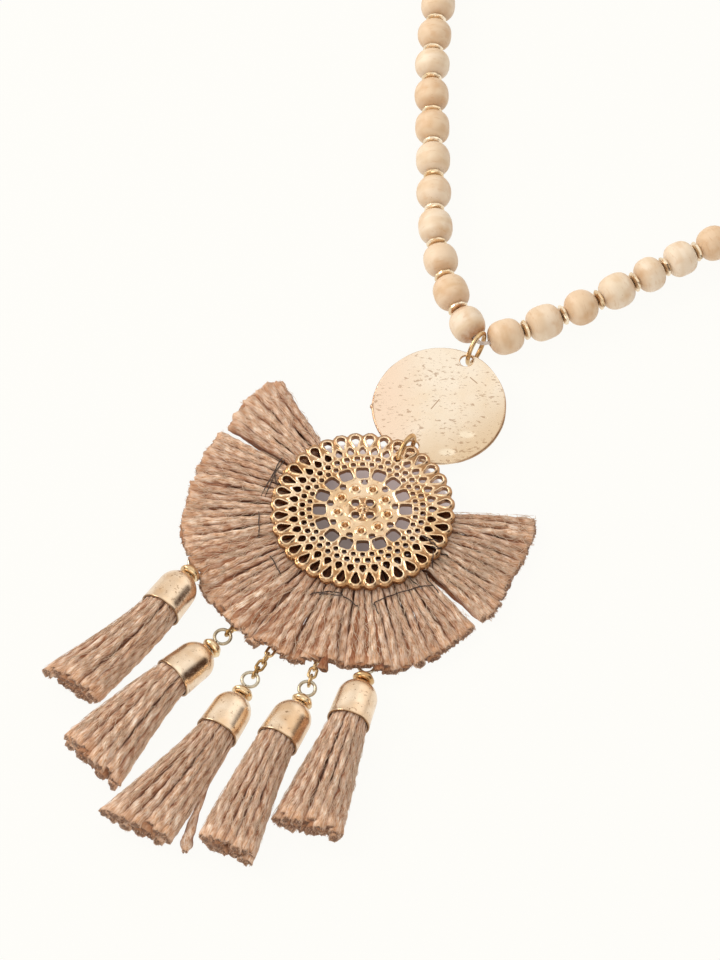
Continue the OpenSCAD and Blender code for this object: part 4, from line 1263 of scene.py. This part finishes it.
def makeSkirt(number, t):
    rng = random.Random(40 + number)
    place = capPlace(t)
    blank, wisp = strandBlank(12, 38), strandBlank(3, 3, cutFace=False)
    hair = strandBlank(3, 5, cutFace=False)
    target, record = bmesh.new(), newRecord()
    # the inner strands' higher tone is painted shade, as they lie under the outer ones
    for count, reach, tones in ((tassel["outer"], 1.0, (0.0, 0.3)), (tassel["inner"], 0.5, (0.7, 1))):
        for i in range(count):
            around = math.tau * (i + rng.uniform(-0.15, 0.15)) / count
            tone = rng.uniform(*tones)
            course, look = skirtStrand(t, place, around, reach, rng, tone)
            layStrand(target, blank, course, look, rng, record)
            fringe(target, wisp, course, tassel["wisps"], tassel["wispReach"], rng, record)
    if number == 3:  # one strand of this tassel stands away from the rest
        spine = pathCourse([pendant @ Vector(p) for p in tassel["stray"]], 1.0)
        look = dict(skirtStrand(t, place, 0, 1.0, rng, 0.1)[1], cut=0.1)

        def away(share):
            half = (0.75 + 0.65 * ease((share - 0.35) / 0.5)) * (1 - 0.5 * ease((share - 0.9) / 0.1))
            return (*spine(share)[:3], half, half * 0.85)

        layStrand(target, blank, away, look, rng, record)
        fringe(target, wisp, away, tassel["wisps"], tassel["wispReach"], rng, record)
    finishPiece("tassel_%d_strands" % number, target, jute, ["skirt_%d" % number], record)

    target, record = bmesh.new(), newRecord()
    short, more = tassel["hairLength"]
    for _ in range(tassel["hairs"]):
        u, around = rng.uniform(0.05, 0.9), rng.uniform(0.05, 0.95) * math.pi
        length = short + more * rng.random() ** 2
        slant, bow = rng.gauss(0, tassel["hairWild"]), rng.uniform(-0.1, 0.1)
        points = []
        for k in range(5):
            s = length * (k / 4 - 0.5)
            at = min(0.98, max(0.02, u + s * math.cos(slant) / tassel["skirtL"]))
            x, wide, high, shift, drop = skirtSection(t, at)
            a = around + s * math.sin(slant) / wide + bow * (1 - (k / 2 - 1) ** 2)
            lift = rng.uniform(*tassel["hairLift"])
            points.append(place @ Vector((x, (wide + lift) * math.cos(a) + shift,
                                          (high + lift) * math.sin(a) + drop)))
        course = pathCourse(points, rng.uniform(*tassel["hairR"]), 0.6)
        layStrand(target, hair, course, hairLook, rng, record)
    finishPiece("tassel_%d_loose_fibres" % number, target, fibreMaterial, [], record)


def makeCap(number, t):
    s = tassel
    dome, length, radius, wall, hole = s["capDome"], s["capL"], s["capD"] / 2, s["wall"], s["hole"] / 2

    def domeLine(r, steps):  # from the pin's hole down to the widest part of the dome
        least = math.asin(hole / r)
        turns = [least + (math.pi / 2 - least) * k / steps for k in range(steps + 1)]
        return [(dome - r * math.cos(a), r * math.sin(a)) for a in turns]

    outer, inner = domeLine(dome, 14), domeLine(dome - wall, 10)
    for share in (0.25, 0.5, 0.75, 0.93):
        outer.append((dome + (length - dome) * share, dome + (radius - dome) * share))
    outer += [(length - 0.4, radius), (length - 0.22, radius), (length - 0.06, radius - 0.03),
              (length, radius - 0.12)]
    inner += [(length - 0.1, radius - wall), (length, radius - wall + 0.1)]
    bm = spinProfile(outer + inner[::-1], 64)
    shift = Vector((number * 17.3, 0, 0))
    edges = []
    for vert in bm.verts:  # pressed thin metal is never quite true
        # painted shade: the cap darkens towards its lip, where the shadow under the rim falls
        edges.append(0.85 * ease((vert.co.x - length + s["lip"]) / 0.22))
        out = Vector((0, vert.co.y, vert.co.z))
        vert.co += out.normalized() * s["wobble"] * noise.noise(vert.co * 0.22 + shift)
    bmesh.ops.transform(bm, matrix=capPlace(t) @ Matrix.Translation((s["capFrom"], 0, 0)), verts=bm.verts)
    finishPiece("tassel_%d_cap" % number, bm, capGold, ["cap_%d" % number],
                {"edgeDark": edges})


def makeCollar(number, t):
    s = tassel
    length, radius, hole = s["collarL"], s["collarD"] / 2, s["hole"] / 2
    rounded = [(0.02, 0.62), (0.16, 0.72), (length * 0.5, 0.97), (length * 0.62, 1), (length * 0.74, 0.97),
               (length - 0.12, 0.86), (length, 0.74)]
    profile = [(0, hole)] + [(x, radius * share) for x, share in rounded] + [(length, hole)]
    bm = spinProfile(profile, 40)
    shift = Vector((0, number * 11.1, 0))
    for vert in bm.verts:
        out = Vector((0, vert.co.y, vert.co.z))
        if out.length > 1:
            vert.co += out.normalized() * s["dent"] * noise.noise(vert.co * 0.7 + shift)
    bmesh.ops.transform(bm, matrix=capPlace(t) @ Matrix.Translation((s["collarFrom"], 0, 0)),
                        verts=bm.verts)
    finishPiece("tassel_%d_collar" % number, bm, collarGold, ["collar_%d" % number])


def makeEye(number, t):  # a pin bent into an eye, its shank bent up and through collar and cap
    s = tassel
    low, high = tasselPlace(t) @ Matrix.Translation((0, 0, s["eyeZ"] - 0.15)), capPlace(t)
    start, end = low @ Vector((s["eyeR"] + 0.1, 0.15, 0.05)), high @ Vector((4.3, 0, 0))
    path = [high @ Vector((9.0, 0, 0)), high @ Vector((5.0, 0, 0))]
    path += [end.lerp(start, k / 5) - Vector((0, 0, 0.25 * math.sin(math.pi * k / 5))) for k in range(6)]
    for k in range(s["eyeSteps"] + 1):
        a = math.radians(s["eyeTurn"] * k / s["eyeSteps"])
        path.append(low @ Vector((s["eyeR"] * math.cos(a), s["eyeR"] * math.sin(a), -0.1 * math.cos(a))))
    wire = wireLoops([path], s["wire"] / 2, closed=False, steps=4)
    finishPiece("tassel_%d_eye" % number, wire, pinGold, ["eye_pin_%d" % number])


chain = {"linkL": 3.2, "linkW": 2.1, "wire": 0.5, "seen": 0.66, "gap": 0.11, "from": 25.2, "eyeR": 1.72}


def makeChain(number, t):
    c, s = chain, tassel
    tilt = math.radians(s["eyeTilt"])
    turn = math.cos(math.radians(t[2] - t[0]))
    reach = c["eyeR"] * (1 - (1 - math.cos(tilt)) * turn * turn) - s["wire"] / 2 - c["gap"]
    first = t[1] - reach - c["linkL"] / 2 + c["wire"]
    pitch = c["linkL"] - 2 * c["wire"] - c["gap"]
    count = int((first - c["from"]) / pitch) + 1
    bend, straight = (c["linkW"] - c["wire"]) / 2, c["linkL"] - c["linkW"]
    links = []
    for i in range(count):
        middle = polar(t[0], first - i * pitch, s["eyeZ"] - c["eyeR"] * math.sin(tilt) * turn)
        place = (Matrix.Translation(middle) @ Matrix.Rotation(math.radians(t[0]), 4, "Z")
                 @ Matrix.Rotation(math.radians(90 if i % 2 == 0 else 0), 4, "Y"))
        path = []
        for side in (1, -1):
            for k in range(9):
                a = math.pi * k / 8
                path.append(place @ Vector((side * bend * math.cos(a),
                                            side * (bend * math.sin(a) + straight / 2), 0)))
        links.append(path)
    finishPiece("tassel_%d_chain" % number, wireLoops(links, c["seen"] / 2, steps=3), chainGold,
                ["chain_%d" % number])


for number, t in enumerate(tassel["list"], 1):
    for make in (makeSkirt, makeCap, makeCollar, makeEye, makeChain):
        make(number, t)
print("tassels")
